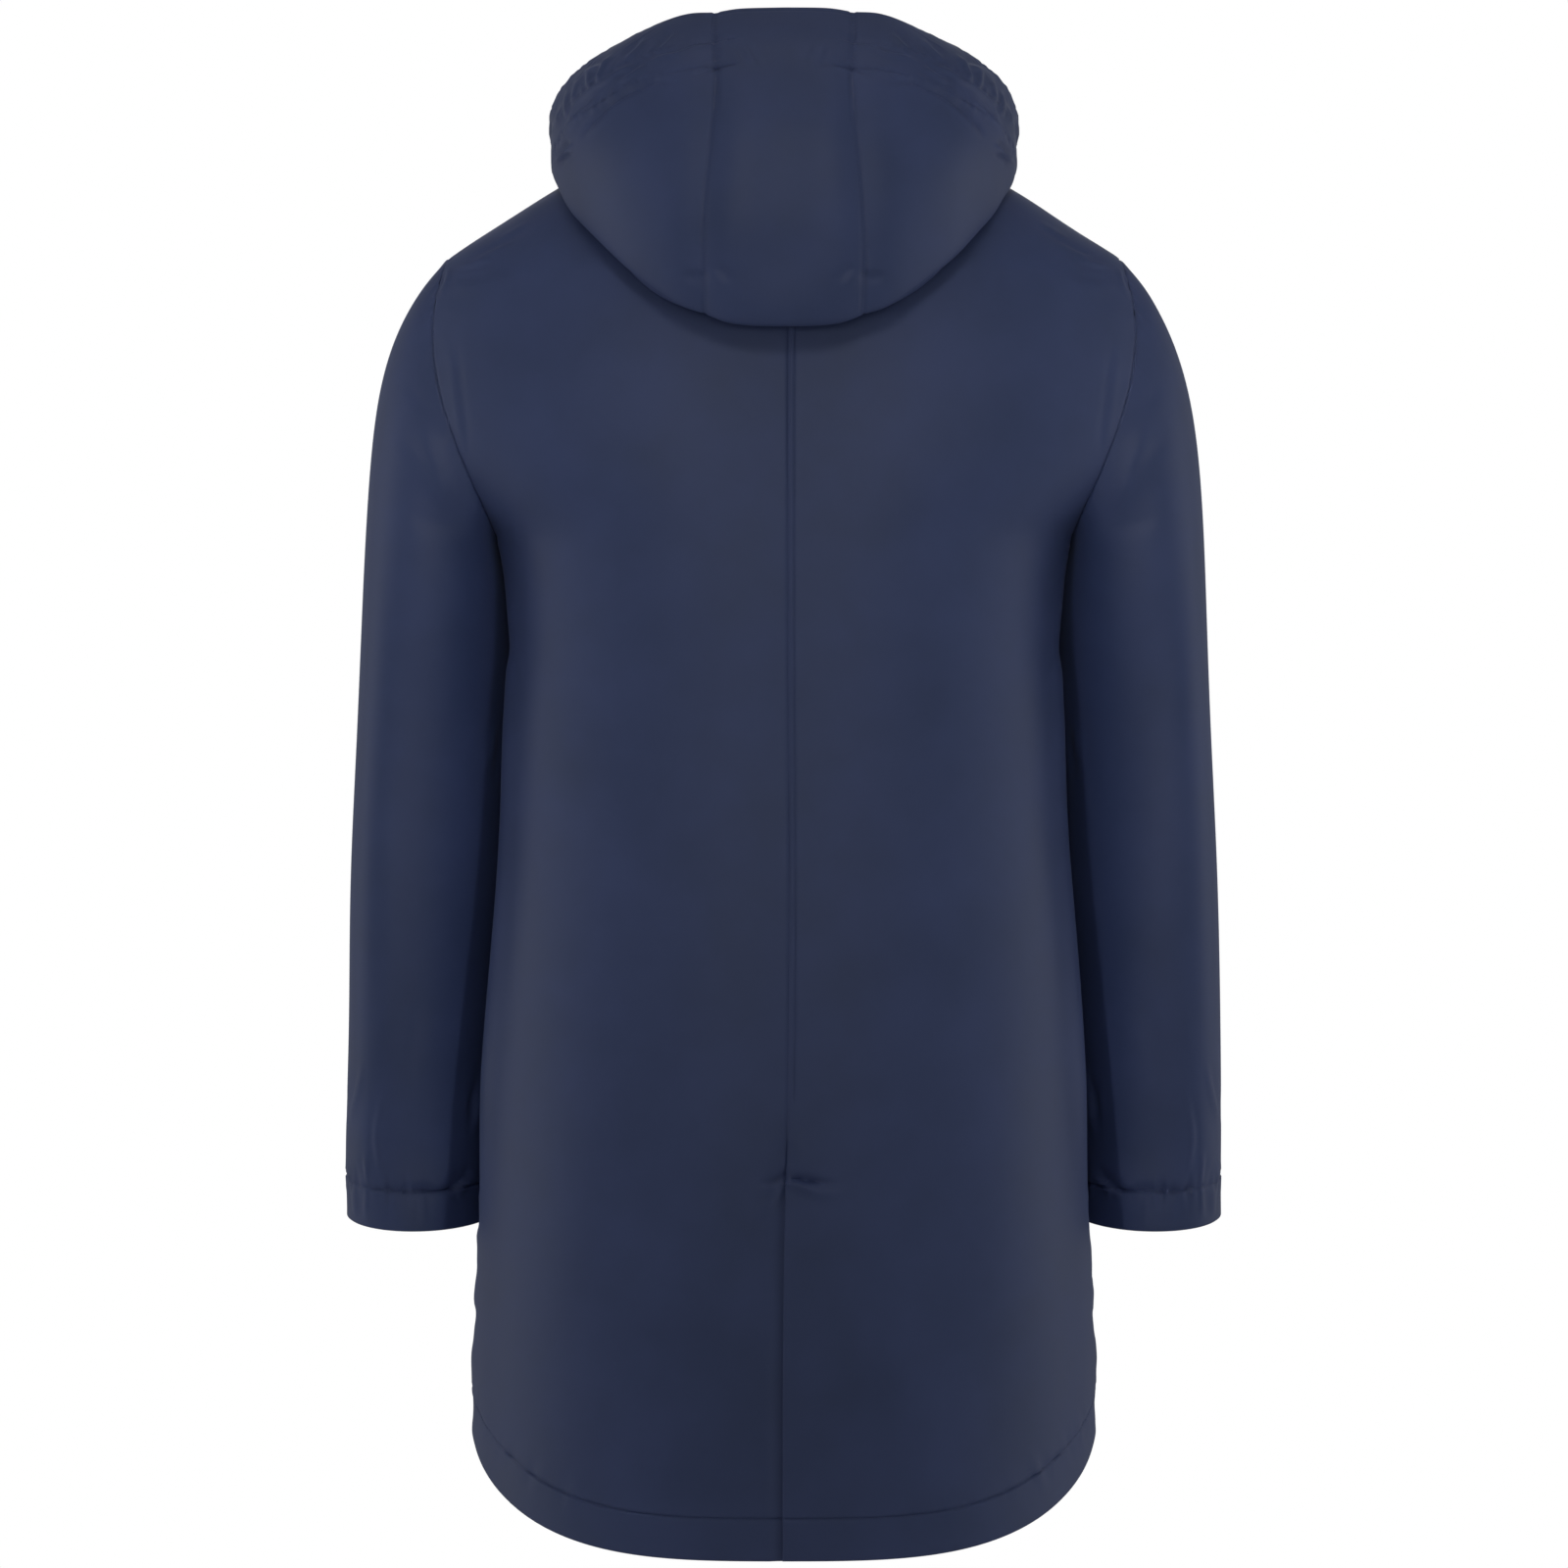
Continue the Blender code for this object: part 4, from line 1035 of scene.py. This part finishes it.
def addSleeve(name, node, isLeft):
    around = np.arange(arm["columns"]) * 2 * np.pi / arm["columns"]
    length = arm["length"]
    share = places(length, [0, length - coat["hemDepth"], length], *arm["spacing"])[:, None]
    outer = sleevePoint(around, share)
    around, inside = np.broadcast_arrays(around, np.clip(share, 1e-3, 1 - 1e-3))
    normal = surfaceNormal(sleevePoint, around, inside)
    fromSeam = arcDown(outer)
    toCuff = fromSeam[-1] - fromSeam
    normal = alike(normal, armholeNormal(around[0])[None], fromSeam)
    seed = 100 + 10 * isLeft
    roundTheArm = around / (2 * np.pi) * arm["girth"]
    isBack = normal[..., 1] > 0
    push = -arm["seam"][0] * bump(fromSeam, arm["seam"][1])
    push += puckers(fromSeam, roundTheArm, arm["capPuckers"], seed + 1)
    stitchDepth, stitchHalf = arm["stitch"]
    second, secondHalf = arm["secondStitch"]
    toStitch = np.abs(toCuff - coat["hemDepth"])
    push -= stitchDepth * bump(toStitch, stitchHalf)
    isBehind = np.abs(around - np.pi / 2) < arm["behind"]
    push -= stitchDepth * bump(toCuff - coat["hemDepth"] - second, secondHalf) * isBehind
    push += puckers(toStitch, roundTheArm * arm["cuffShare"], arm["cuffPuckers"], seed + 2)
    toUnder = np.abs(around - np.pi) * arm["radius"]
    isFree = smooth(*coat["seamFreeZ"], outer[..., 2])
    push -= arm["underSeam"][0] * bump(toUnder, arm["underSeam"][1]) * isFree
    push += puckers(toUnder, fromSeam, arm["underPuckers"], seed + 3) * isFree
    hollow, atBack, roundBack = arm["backHollow"]
    hollowFrom = arm["hollowFrom"]
    besideBody = smooth(*hollowFrom["cap"], fromSeam) * smooth(*hollowFrom["cuff"], toCuff)
    push -= hollow * bump(around - atBack, roundBack) * besideBody
    push += creases(seenFlat(outer), sleeveCreases, isBack)
    push += creases(outer[..., [0, 2]], sleeveFrontCreases, ~isBack)
    size, narrow = arm["drape"]
    drape = softNoise(outer * [1, 1, narrow], size, seed + 4)
    fromCap, fromCuff = arm["slackFrom"]
    push += arm["slack"] * drape * smooth(0, fromCap, fromSeam) * smooth(0, fromCuff, toCuff)
    isTaped = (fromSeam < coat["tapeHalf"]) | (toUnder < coat["tapeHalf"])
    wall, look = clothWall(isTaped, toCuff < coat["hemDepth"] + coat["hemPast"], coat["hemCloth"])
    outer, normal, wall = pressed(outer, normal, push, wall, toCuff, isTube=True)
    outer, normal = mirrored(outer, isLeft), mirrored(normal, isLeft)
    clothPiece(name, node, outer, normal, wall, look, isTube=True)
    sew(outer, normal, toCuff, coat["hemDepth"])
    sew(outer, normal, toCuff, coat["hemDepth"] + second, isBehind)


addSleeve("sleeveLeftCloth", "sleeve_left", True)
addSleeve("sleeveRightCloth", "sleeve_right", False)
print("sleeves made")


hood = {
    "centreWidth": 113, "sideWidth": 200, "frontWidth": 200,
    "spacing": {
        "under": (1.3, 3.6), "turn": (1.2, 1.2), "outside": (1.2, 2.3), "band": (0.45, 1.15),
        "centre": (0.6, 2.3), "behind": (0.6, 1.7, 0.12), "before": (0.5, 2.7),
    },
    "seed": 200,
    "bandRows": (43, 69),         # the wide hem round the opening is sewn twice
    "bandPast": 1,                # its cloth reaches that much past the second row
    "band": 78,
    "rowPull": (0.3, 1.4),        # how hard each row draws the side panels in
    "rowEase": (9, 24),           # on the centre panel the rows fade between these distances from its seams
    "rowEnd": 14,                 # and their thread ends at this one
    "creaseShare": 1.6,           # creases behind are that many times as deep as listed
    "edgeCloth": 1.8,
    "roll": (0.4, 5.5, 0.9),      # depth, place and half width where the folded edge rolls, on the centre
    "seam": (0.9, 1.2),
    "topStitch": 2.0,             # beside each seam, on the centre panel
    "stitch": (0.8, 0.85),
    "seamPuckers": {"height": 0.68, "wavelength": 4.6, "reach": 3.4},
    "dimples": (0.3, -86, 22),    # seam puckers: their share elsewhere, the height of the rest and its spread
    "rowPuckers": {"height": 0.6, "wavelength": 11, "reach": 6, "skew": 0.7},
    "rowPuckerShare": 0.4,        # of their height in the middle; they grow between these x
    "rowPuckerX": (50, 125),
    "rowLean": 10,                # degrees
    "edgePuckers": {"height": 0.45, "wavelength": 12, "reach": 26, "skew": -1.7},
    "edgePuckersFrom": (20, 80),  # they grow between these distances from the seam
    "middleHollow": (4.0, 23),    # the centre panel is hollow along its middle
    "hollowFrom": (50, 95),       # it grows between these distances from the edge of the opening
    "seamValley": (2.0, 12),      # the panels sink towards their seams
    "valleyFrom": 25,             # over this distance from the neck
    "drape": 60,
    "slack": 0.5,
    "slackFrom": 20,
    "backFromY": -5,              # cloth behind this takes the creases of the back
}
# Seen from behind, as if on the left: ridges along the first row of stitching and towards the edge,
# then the trough along the second row
hoodCreases = [
    ([(30, 72.5), (51.7, 66.8), (63.2, 63.9), (72.3, 59.9), (81.6, 58.1), (90.6, 55.3), (99, 51)], -1.1, 1.7),
    ([(96, 55), (108.1, 50.1), (115.9, 46.6), (122.8, 40.9), (129.7, 37.5), (135.5, 32.9), (141.2, 28.3),
      (145.8, 21.4), (150, 13), (154.5, 5.5), (159.5, -3)], -1.3, 1.5),
    ([(94, 52.5), (103, 46.5), (109.1, 42.1), (116, 39)], -1.1, 1.7),
    ([(74, 75), (80.3, 67.4), (87, 61.5)], -1.0, 1.8),
    ([(95, 71), (99.8, 65.1), (104.4, 60.5), (111, 55)], -1.1, 1.7),
    ([(117, 60.5), (127.4, 52.4), (134.3, 49), (142, 43.5)], -1.0, 1.6),
    ([(122, 56), (127.4, 47.8), (130.5, 39)], -1.2, 1.5),
    ([(135.5, 49), (136.3, 41), (135, 33)], -0.9, 1.5),
    ([(142, 43), (145.8, 34), (146.6, 24)], -1.0, 1.5),
    ([(149, 36), (151.6, 27.2), (152.1, 15)], -1.0, 1.4),
    ([(154, 29), (156.1, 16.8), (160.5, 4)], -1.0, 1.4),
    ([(129, 31), (135.5, 23.7), (142.4, 16.8), (149.3, 9.9), (155, 1)], -1.1, 1.5),
    ([(139, 24), (145.8, 13.3), (151.6, 4), (157, -5)], -0.9, 1.4),
    ([(159, -12.5), (155, -8), (151.6, -3.5), (148, 0.5)], 1.5, 1.5),
    ([(159, -17), (153.9, -11), (147, -5.5)], -1.1, 1.6),
    ([(36, 52.8), (47, 51.8), (59.6, 46.6), (68, 43.5)], 0.8, 1.5),
    ([(68, 41), (76.8, 40.3), (83.8, 41.3), (91.8, 40.3), (99.8, 36.3), (109, 32.9), (115.9, 28.3),
      (124, 22.5), (129.1, 18), (134.3, 12.2), (141, 1)], 1.5, 1.7),
    ([(111, 29), (119.4, 21.4), (126, 14), (133.1, 6.5), (138, -1)], -0.8, 2.0),
    ([(26, 68), (21, 62), (16, 52)], 0.5, 2.2),
    ([(33, 66), (29, 58), (28, 50)], 0.5, 2.0),
    ([(50, -86), (43, -91), (36, -100)], 0.9, 3.6),
    ([(52, -95), (60, -96), (72, -93)], 0.9, 3.6),
]
hoodFrontCreases = [
    ([(70, -66), (86, -52), (100, -36)], 0.8, 4.0),
    ([(60, -78), (78, -66), (96, -52)], 0.6, 3.5),
    ([(126, -26), (118, -40), (106, -50)], 0.6, 4.0),
]


def hoodAlongRows():
    # rows by their distance along the section at the centre back, finest in the hem of the opening
    spacing = hood["spacing"]
    dense = np.linspace(0, 1, 2001)
    length = lineLength(hoodPoint(np.zeros(len(dense)), dense))
    roll, fold = (np.interp(share, dense, length) for share in (rollShare, foldShare))
    bandStart = length[-1] - hood["band"]
    under = places(roll, [roll], *spacing["under"]) * roll
    turn = roll + places(fold - roll, [], *spacing["turn"]) * (fold - roll)
    outside = fold + places(bandStart - fold, [0], *spacing["outside"]) * (bandStart - fold)
    band = bandStart + places(hood["band"], [hood["band"]], *spacing["band"]) * hood["band"]
    at = np.concatenate([under[:-1], turn[:-1], outside[:-1], band])
    along = np.interp(at, length, dense)[:, None]
    return along, curve(hoodAlong, hoodSeamAngle, along)


def halves(grid):
    # its columns left and right of the middle
    middle = grid.shape[1] // 2
    return slice(0, middle), slice(middle, None)


def finishHood(name, node, angle, along, toSeam, isCentre, frontEdge=np.inf):
    outer = hoodPoint(angle, along)
    inside = np.clip(along, 1e-4, 1 - 1e-4)
    normal = surfaceNormal(hoodPoint, angle, inside)
    # the hem of the opening, in the last sixty rows, faces away from the neck
    if np.sum(normal[-60:, :, 1] * outer[-60:, :, 1]) < 0:
        normal = -normal
    seed = hood["seed"]
    fromNeck = arcDown(outer)
    toEdge = fromNeck[-1] - fromNeck
    isOutside = along > foldShare
    flatPlace = seenFlat(outer)
    flatPlace[..., 0] = np.abs(flatPlace[..., 0])
    isBack = outer[..., 1] > hood["backFromY"]
    stitchDepth, stitchHalf = hood["stitch"]
    push = -hood["seam"][0] * bump(toSeam, hood["seam"][1])
    valley, valleyHalf = hood["seamValley"]
    push -= valley * bump(toSeam, valleyHalf) * smooth(0, hood["valleyFrom"], fromNeck)
    least, dimpleZ, tall = hood["dimples"]
    atDimples = least + (1 - least) * bump(outer[..., 2] - dimpleZ, tall)
    push += puckers(toSeam, fromNeck, hood["seamPuckers"], seed + 10) * atDimples
    rowShare = 1 - smooth(*hood["rowEase"], toSeam) if isCentre else np.ones(outer.shape[:2])
    roundTheNeck = arcAcross(outer) + np.radians(hood["rowLean"]) * outer[..., 2]
    least = hood["rowPuckerShare"]
    puckerShare = least + (1 - least) * smooth(*hood["rowPuckerX"], flatPlace[..., 0])
    for i, distance in enumerate(hood["bandRows"]):
        pulled = 1 if isCentre else hood["rowPull"][i]
        push -= rowShare * pulled * stitchDepth * bump(toEdge - distance, stitchHalf)
        puckered = puckers(np.abs(toEdge - distance), roundTheNeck, hood["rowPuckers"], seed + 20 + i)
        push += rowShare * puckered * puckerShare
    if isCentre:
        push -= stitchDepth * bump(toSeam - hood["topStitch"], stitchHalf) * isOutside
        roll, rollAt, rollHalf = hood["roll"]
        push -= roll * bump(toEdge - rollAt, rollHalf)
        hollow, half = hood["middleHollow"]
        pastFold = smooth(foldShare, lowShare, along)
        push -= hollow * bump(outer[..., 0], half) * pastFold * smooth(*hood["hollowFrom"], toEdge)
    else:
        puckered = puckers(toEdge, roundTheNeck, hood["edgePuckers"], seed + 30)
        push += puckered * smooth(*hood["edgePuckersFrom"], toSeam)
    push += hood["creaseShare"] * creases(flatPlace, hoodCreases, isOutside & isBack)
    push += creases(flatPlace, hoodFrontCreases, isOutside & ~isBack)
    drape = softNoise(outer, hood["drape"], seed + 40)
    push += hood["slack"] * drape * smooth(0, hood["slackFrom"], fromNeck)
    isTaped = (toSeam < coat["tapeHalf"]) | (fromNeck < coat["tapeHalf"])
    wall, look = clothWall(isTaped, toEdge < hood["bandRows"][1] + hood["bandPast"], hood["edgeCloth"])
    outer, normal, wall = pressed(outer, normal, push, wall, np.minimum(toEdge, frontEdge))
    clothPiece(name, node, outer, normal, wall, look)
    isSewn = toSeam < hood["rowEnd"]
    for distance in hood["bandRows"]:
        if isCentre:
            for half in halves(outer):
                sew(outer[:, half], normal[:, half], toEdge[:, half], distance, isSewn[:, half])
        else:
            sew(outer, normal, toEdge, distance)
    return outer, normal


def addHoodCentre():
    along, seam = hoodAlongRows()
    width = hood["centreWidth"]
    across = 2 * places(width, [0, width], *hood["spacing"]["centre"]) - 1
    angle = seam * across
    along = along + 0 * angle
    span = arcAcross(hoodPoint(angle, along))
    toSeam = np.minimum(span, span[:, -1:] - span)
    outer, normal = finishHood("hoodCentreCloth", "hood_centre", angle, along, toSeam, True)
    isOutside = along > foldShare
    for half in halves(outer):
        sew(outer[:, half], normal[:, half], toSeam[:, half], hood["topStitch"], isOutside[:, half], False)


def addHoodSide(name, node, isLeft):
    along, seam = hoodAlongRows()
    behind = places(hood["sideWidth"], [0], *hood["spacing"]["behind"])[:-1]
    before = places(hood["frontWidth"], [hood["frontWidth"]], *hood["spacing"]["before"])
    angle = np.concatenate([
        seam + (90 - seam) * behind, 90 + (hoodFrontAngle - 90) * before + 0 * seam,
    ], axis=1)
    along = along + 0 * angle
    span = arcAcross(hoodPoint(angle, along))
    side = 1 if isLeft else -1
    finishHood(name, node, side * angle, along, span, False, span[:, -1:] - span)


addHoodCentre()
addHoodSide("hoodSideLeftCloth", "hood_side_left", True)
addHoodSide("hoodSideRightCloth", "hood_side_right", False)
print("hood made")


stitching = {
    "pitch": 3.4,         # mm from one stitch to the next
    "length": 2.7,
    "thickness": 0.36,
    "lift": 0.05,         # how far the thread's middle stands off the cloth
    "uneven": 0.05,       # radians
    "segments": 6, "rings": 4,
    "seed": 7,
}


def stitchTree():
    # a stitch at each step along every edge path, lying along it on the cloth
    tree = bpy.data.node_groups.new("stitchesAlongSeams", "GeometryNodeTree")
    tree.interface.new_socket("Geometry", in_out="INPUT", socket_type="NodeSocketGeometry")
    for name in ("Pitch", "Stitch length", "Thread thickness", "Lift", "Uneven"):
        tree.interface.new_socket(name, in_out="INPUT", socket_type="NodeSocketFloat")
    tree.interface.new_socket("Geometry", in_out="OUTPUT", socket_type="NodeSocketGeometry")
    given = addNode(tree, "NodeGroupInput")
    outward = addNode(tree, "GeometryNodeInputNamedAttribute", {"data_type": "FLOAT_VECTOR"}, {
        "Name": "outward",
    })
    paths = addNode(tree, "GeometryNodeMeshToCurve", None, {"Mesh": (given, "Geometry")})
    steps = addNode(tree, "GeometryNodeResampleCurve", {"mode": "LENGTH"}, {
        "Curve": (paths, "Curve"), "Length": (given, "Pitch"),
    })
    tangent = addNode(tree, "GeometryNodeInputTangent")
    alongPath = addNode(tree, "FunctionNodeAlignRotationToVector", {"axis": "X"}, {
        "Vector": (tangent, "Tangent"),
    })
    onCloth = addNode(tree, "FunctionNodeAlignRotationToVector", {"axis": "Z", "pivot_axis": "X"}, {
        "Rotation": (alongPath, "Rotation"), "Vector": (outward, "Attribute"),
    })
    raised = addNode(tree, "ShaderNodeVectorMath", {"operation": "SCALE"}, {
        "Vector": (outward, "Attribute"), "Scale": (given, "Lift"),
    })
    placed = addNode(tree, "GeometryNodeSetPosition", None, {
        "Geometry": (steps, "Curve"), "Offset": (raised, "Vector"),
    })
    bead = addNode(tree, "GeometryNodeMeshUVSphere", None, {
        "Segments": stitching["segments"], "Rings": stitching["rings"], "Radius": 0.5,
    })
    lying = addNode(tree, "GeometryNodeTransform", None, {
        "Geometry": (bead, "Mesh"), "Rotation": (0, math.pi / 2, 0),
    })
    wander = addNode(tree, "FunctionNodeRandomValue", {"data_type": "FLOAT"}, {"Seed": stitching["seed"]})
    away = addNode(tree, "ShaderNodeMath", {"operation": "MULTIPLY"}, {0: (given, "Uneven"), 1: -1.0})
    tree.links.new(away.outputs[0], wander.inputs[2])
    tree.links.new(given.outputs["Uneven"], wander.inputs[3])
    twist = addNode(tree, "ShaderNodeCombineXYZ", None, {"Z": (wander, 1)})
    turned = addNode(tree, "FunctionNodeRotateRotation", {"rotation_space": "LOCAL"}, {
        "Rotation": (onCloth, "Rotation"), "Rotate By": (twist, "Vector"),
    })
    size = addNode(tree, "ShaderNodeCombineXYZ", None, {
        "X": (given, "Stitch length"), "Y": (given, "Thread thickness"), "Z": (given, "Thread thickness"),
    })
    stitches = addNode(tree, "GeometryNodeInstanceOnPoints", None, {
        "Points": (placed, "Geometry"), "Instance": (lying, "Geometry"),
        "Rotation": (turned, "Rotation"), "Scale": (size, "Vector"),
    })
    real = addNode(tree, "GeometryNodeRealizeInstances", None, {"Geometry": (stitches, "Instances")})
    finished = addNode(tree, "GeometryNodeSetMaterial", None, {
        "Geometry": (real, "Geometry"), "Material": thread,
    })
    addNode(tree, "NodeGroupOutput", None, {"Geometry": (finished, "Geometry")})
    return tree


def addStitches(name):
    points = np.concatenate([line for line, _ in seams]) * mm
    outward = np.concatenate([normal for _, normal in seams])
    edges, first = [], 0
    for line, _ in seams:
        edges += [(first + i, first + i + 1) for i in range(len(line) - 1)]
        first += len(line)
    paths = bpy.data.meshes.new(name + "Paths")
    paths.from_pydata(points.tolist(), edges, [])
    layer = paths.attributes.new("outward", "FLOAT_VECTOR", "POINT")
    layer.data.foreach_set("vector", outward.astype(np.float32).ravel())
    maker = addObject(name + "Paths", paths)
    tree = stitchTree()
    modifier = maker.modifiers.new("stitches", "NODES")
    modifier.node_group = tree
    values = {
        "Pitch": stitching["pitch"] * mm, "Stitch length": stitching["length"] * mm,
        "Thread thickness": stitching["thickness"] * mm, "Lift": stitching["lift"] * mm,
        "Uneven": stitching["uneven"],
    }
    for socket in tree.interface.items_tree:
        if socket.in_out == "INPUT" and socket.name in values:
            modifier[socket.identifier] = values[socket.name]
    settled = maker.evaluated_get(bpy.context.evaluated_depsgraph_get())
    mesh = bpy.data.meshes.new_from_object(settled)
    maker.modifiers.remove(modifier)
    bpy.data.objects.remove(maker)
    mesh.name = name
    mesh.polygons.foreach_set("use_smooth", np.ones(len(mesh.polygons), bool))
    keep(addObject(name, mesh), None)
    print(f"{name}: {len(mesh.polygons)} faces")


addStitches("topStitching")
print("stitches made")


stud = {
    "count": 6, "topZ": -96, "pitch": 118, "sides": 40,
    # radius and height of the cap's outline, from the cloth round the rim and over the dome
    "cap": [(0, -0.1), (6.2, -0.1), (7.1, 0.1), (7.5, 0.7), (7.35, 1.3), (6.8, 1.65), (6.1, 1.6), (5.7, 1.55),
            (5.0, 1.85), (3.6, 2.15), (1.8, 2.3), (0, 2.35)],
    # the socket behind the cloth, from the cloth round its rim and into its middle
    "socket": [(0, 0.1), (5.4, 0.1), (5.7, -0.4), (5.2, -1.5), (4.3, -1.9), (3.4, -1.8), (2.6, -1.1),
               (0, -1.0)],
}


def addStud(index):
    z = stud["topZ"] - stud["pitch"] * index
    place = np.array([0, float(bodyDepth("front", 0, z) + lapLift(0, z)), z])
    out = bodyNormal("front", place, lapLift)
    right = unit(np.cross(out, [0, 0, 1]))
    up = np.cross(right, out)
    points, faces, slots = [], [], []
    turns = np.arange(stud["sides"]) * 2 * np.pi / stud["sides"]
    for outline, lift, slot in ((stud["cap"], 0.0, 0), (stud["socket"], -coat["hemCloth"], 1)):
        first = len(points)
        for radius, height in outline[1:-1]:
            for turn in turns:
                ring = right * np.cos(turn) + up * np.sin(turn)
                points.append(place + ring * radius + out * (height + lift))
        ends = [len(points), len(points) + 1]
        points += [place + out * (outline[i][1] + lift) for i in (0, -1)]
        count = stud["sides"]
        rings = len(outline) - 2
        for ring in range(rings - 1):
            for i in range(count):
                near, far = first + ring * count + i, first + ring * count + (i + 1) % count
                faces.append((near, far, far + count, near + count))
        for i in range(count):
            faces.append((ends[0], first + (i + 1) % count, first + i))
            last = first + (rings - 1) * count
            faces.append((ends[1], last + i, last + (i + 1) % count))
        slots += [slot] * (len(faces) - len(slots))
    mesh = bpy.data.meshes.new(f"snapCap{index + 1}")
    mesh.from_pydata((np.array(points) * mm).tolist(), [], faces)
    finishMesh(mesh, (capLacquer, socketBrass), slots, sharpAngle["stud"])
    keep(addObject(f"snapCap{index + 1}", mesh), f"snap_{index + 1}")


for index in range(stud["count"]):
    addStud(index)
print("press studs made")


studio = {
    "lens": 165.4,
    "backdrop": 1.0,         # what the camera sees round the coat
    "ambient": 0.126,
    "floor": {"z": -1.48, "radius": 3.0, "sides": 96, "patches": 3.0, "roughness": 0.7},
    "floorColours": ("#e2e2e0", "#eaeae8"),
    "floorGlow": (0.42, "#f2f2f0"),      # keeps the floor pale to the eye without lighting the coat
    # position, width, height, power in watts, x and z aimed at, spread in degrees; a light that stands to
    # the left has a twin on the right
    "lights": {
        "overhead": ((0, 0.8, 2.6), 2.6, 2.0, 9.1, (0, -0.45), 180),
        "washHigh": ((0, 3.6, 1.6), 2.2, 0.8, 0.58, (0, -0.3), 20),
        "washLevel": ((0, 4.2, -0.1), 2.0, 0.6, 0.32, (0, -0.2), 14),
        "side": ((3.0, 0.4, -0.2), 3.0, 2.6, 15.0, (0, -0.45), 180),
        "flank": ((3.2, -0.5, -0.6), 1.4, 2.2, 4.0, (0, -0.55), 180),
        "rim": ((2.2, -1.8, -0.3), 1.6, 2.8, 2.9, (0, -0.45), 180),
        "strip": ((1.7, 4.0, -0.5), 0.25, 1.4, 0.1, (-0.27, -0.5), 3),
        "front": ((0, -4.2, 1.0), 2.4, 2.4, 12, (0, -0.45), 180),
    },
}


def addCamera():
    camera = bpy.data.cameras.new("camera")
    camera.lens = studio["lens"]
    view = addObject("camera", camera)
    view.location = (0, eye["distance"] * mm, eye["z"] * mm)
    view.rotation_euler = (math.pi / 2, 0, math.pi)
    bpy.context.scene.camera = view


def addLight(name, side, settings):
    (x, y, z), width, height, power, (aimX, aimZ), spread = settings
    lamp = bpy.data.lights.new(name, "AREA")
    lamp.shape = "RECTANGLE"
    lamp.size, lamp.size_y, lamp.energy = width, height, power
    lamp.spread = math.radians(spread)
    position = Vector((side * x, y, z))
    holder = addObject(name, lamp)
    holder.location = position
    holder.rotation_euler = (Vector((side * aimX, 0, aimZ)) - position).to_track_quat("-Z", "Y").to_euler()


def addSurroundings():
    # soft light from all round, and a plain backdrop that only the camera sees
    world = bpy.data.worlds.new("studio")
    bpy.context.scene.world = world
    world.use_nodes = True
    tree = world.node_tree
    tree.nodes.clear()
    path = addNode(tree, "ShaderNodeLightPath")
    soft, seen = (
        addNode(tree, "ShaderNodeBackground", None, {"Color": (1, 1, 1, 1), "Strength": studio[name]})
        for name in ("ambient", "backdrop")
    )
    mixed = addNode(tree, "ShaderNodeMixShader", None, {
        0: (path, "Is Camera Ray"), 1: (soft, 0), 2: (seen, 0),
    })
    addNode(tree, "ShaderNodeOutputWorld", None, {"Surface": (mixed, 0)})


def addFloor():
    settings = studio["floor"]
    radius = settings["radius"]
    turns = np.arange(settings["sides"]) * 2 * np.pi / settings["sides"]
    ring = [(radius * math.cos(turn), radius * math.sin(turn), settings["z"]) for turn in turns]
    mesh = bpy.data.meshes.new("floor")
    mesh.from_pydata(ring, [], [tuple(range(settings["sides"]))])
    material, tree, shader = newMaterial("paintedFloor")
    place = addNode(tree, "ShaderNodeTexCoord")
    patches = addNode(tree, "ShaderNodeTexNoise", None, {
        "Vector": (place, "Object"), "Scale": settings["patches"],
    })
    dark, pale = studio["floorColours"]
    shade = addNode(tree, "ShaderNodeMix", {"data_type": "RGBA"}, {
        0: (patches, "Fac"), 6: linear(dark), 7: linear(pale),
    })
    tree.links.new(shade.outputs[2], shader.inputs["Base Color"])
    shader.inputs["Roughness"].default_value = settings["roughness"]
    strength, colour = studio["floorGlow"]
    shader.inputs["Emission Color"].default_value = linear(colour)
    toEye = addNode(tree, "ShaderNodeLightPath")
    glow = addNode(tree, "ShaderNodeMath", {"operation": "MULTIPLY"}, {
        0: (toEye, "Is Camera Ray"), 1: strength,
    })
    tree.links.new(glow.outputs["Value"], shader.inputs["Emission Strength"])
    mesh.materials.append(material)
    addObject("floor", mesh)


bpy.context.scene.view_settings.view_transform = "Standard"
addCamera()
for name, settings in studio["lights"].items():
    if settings[0][0] == 0:
        addLight(name, 1, settings)
    else:
        addLight(name + "Left", 1, settings)
        addLight(name + "Right", -1, settings)
addSurroundings()
addFloor()
print("studio made")
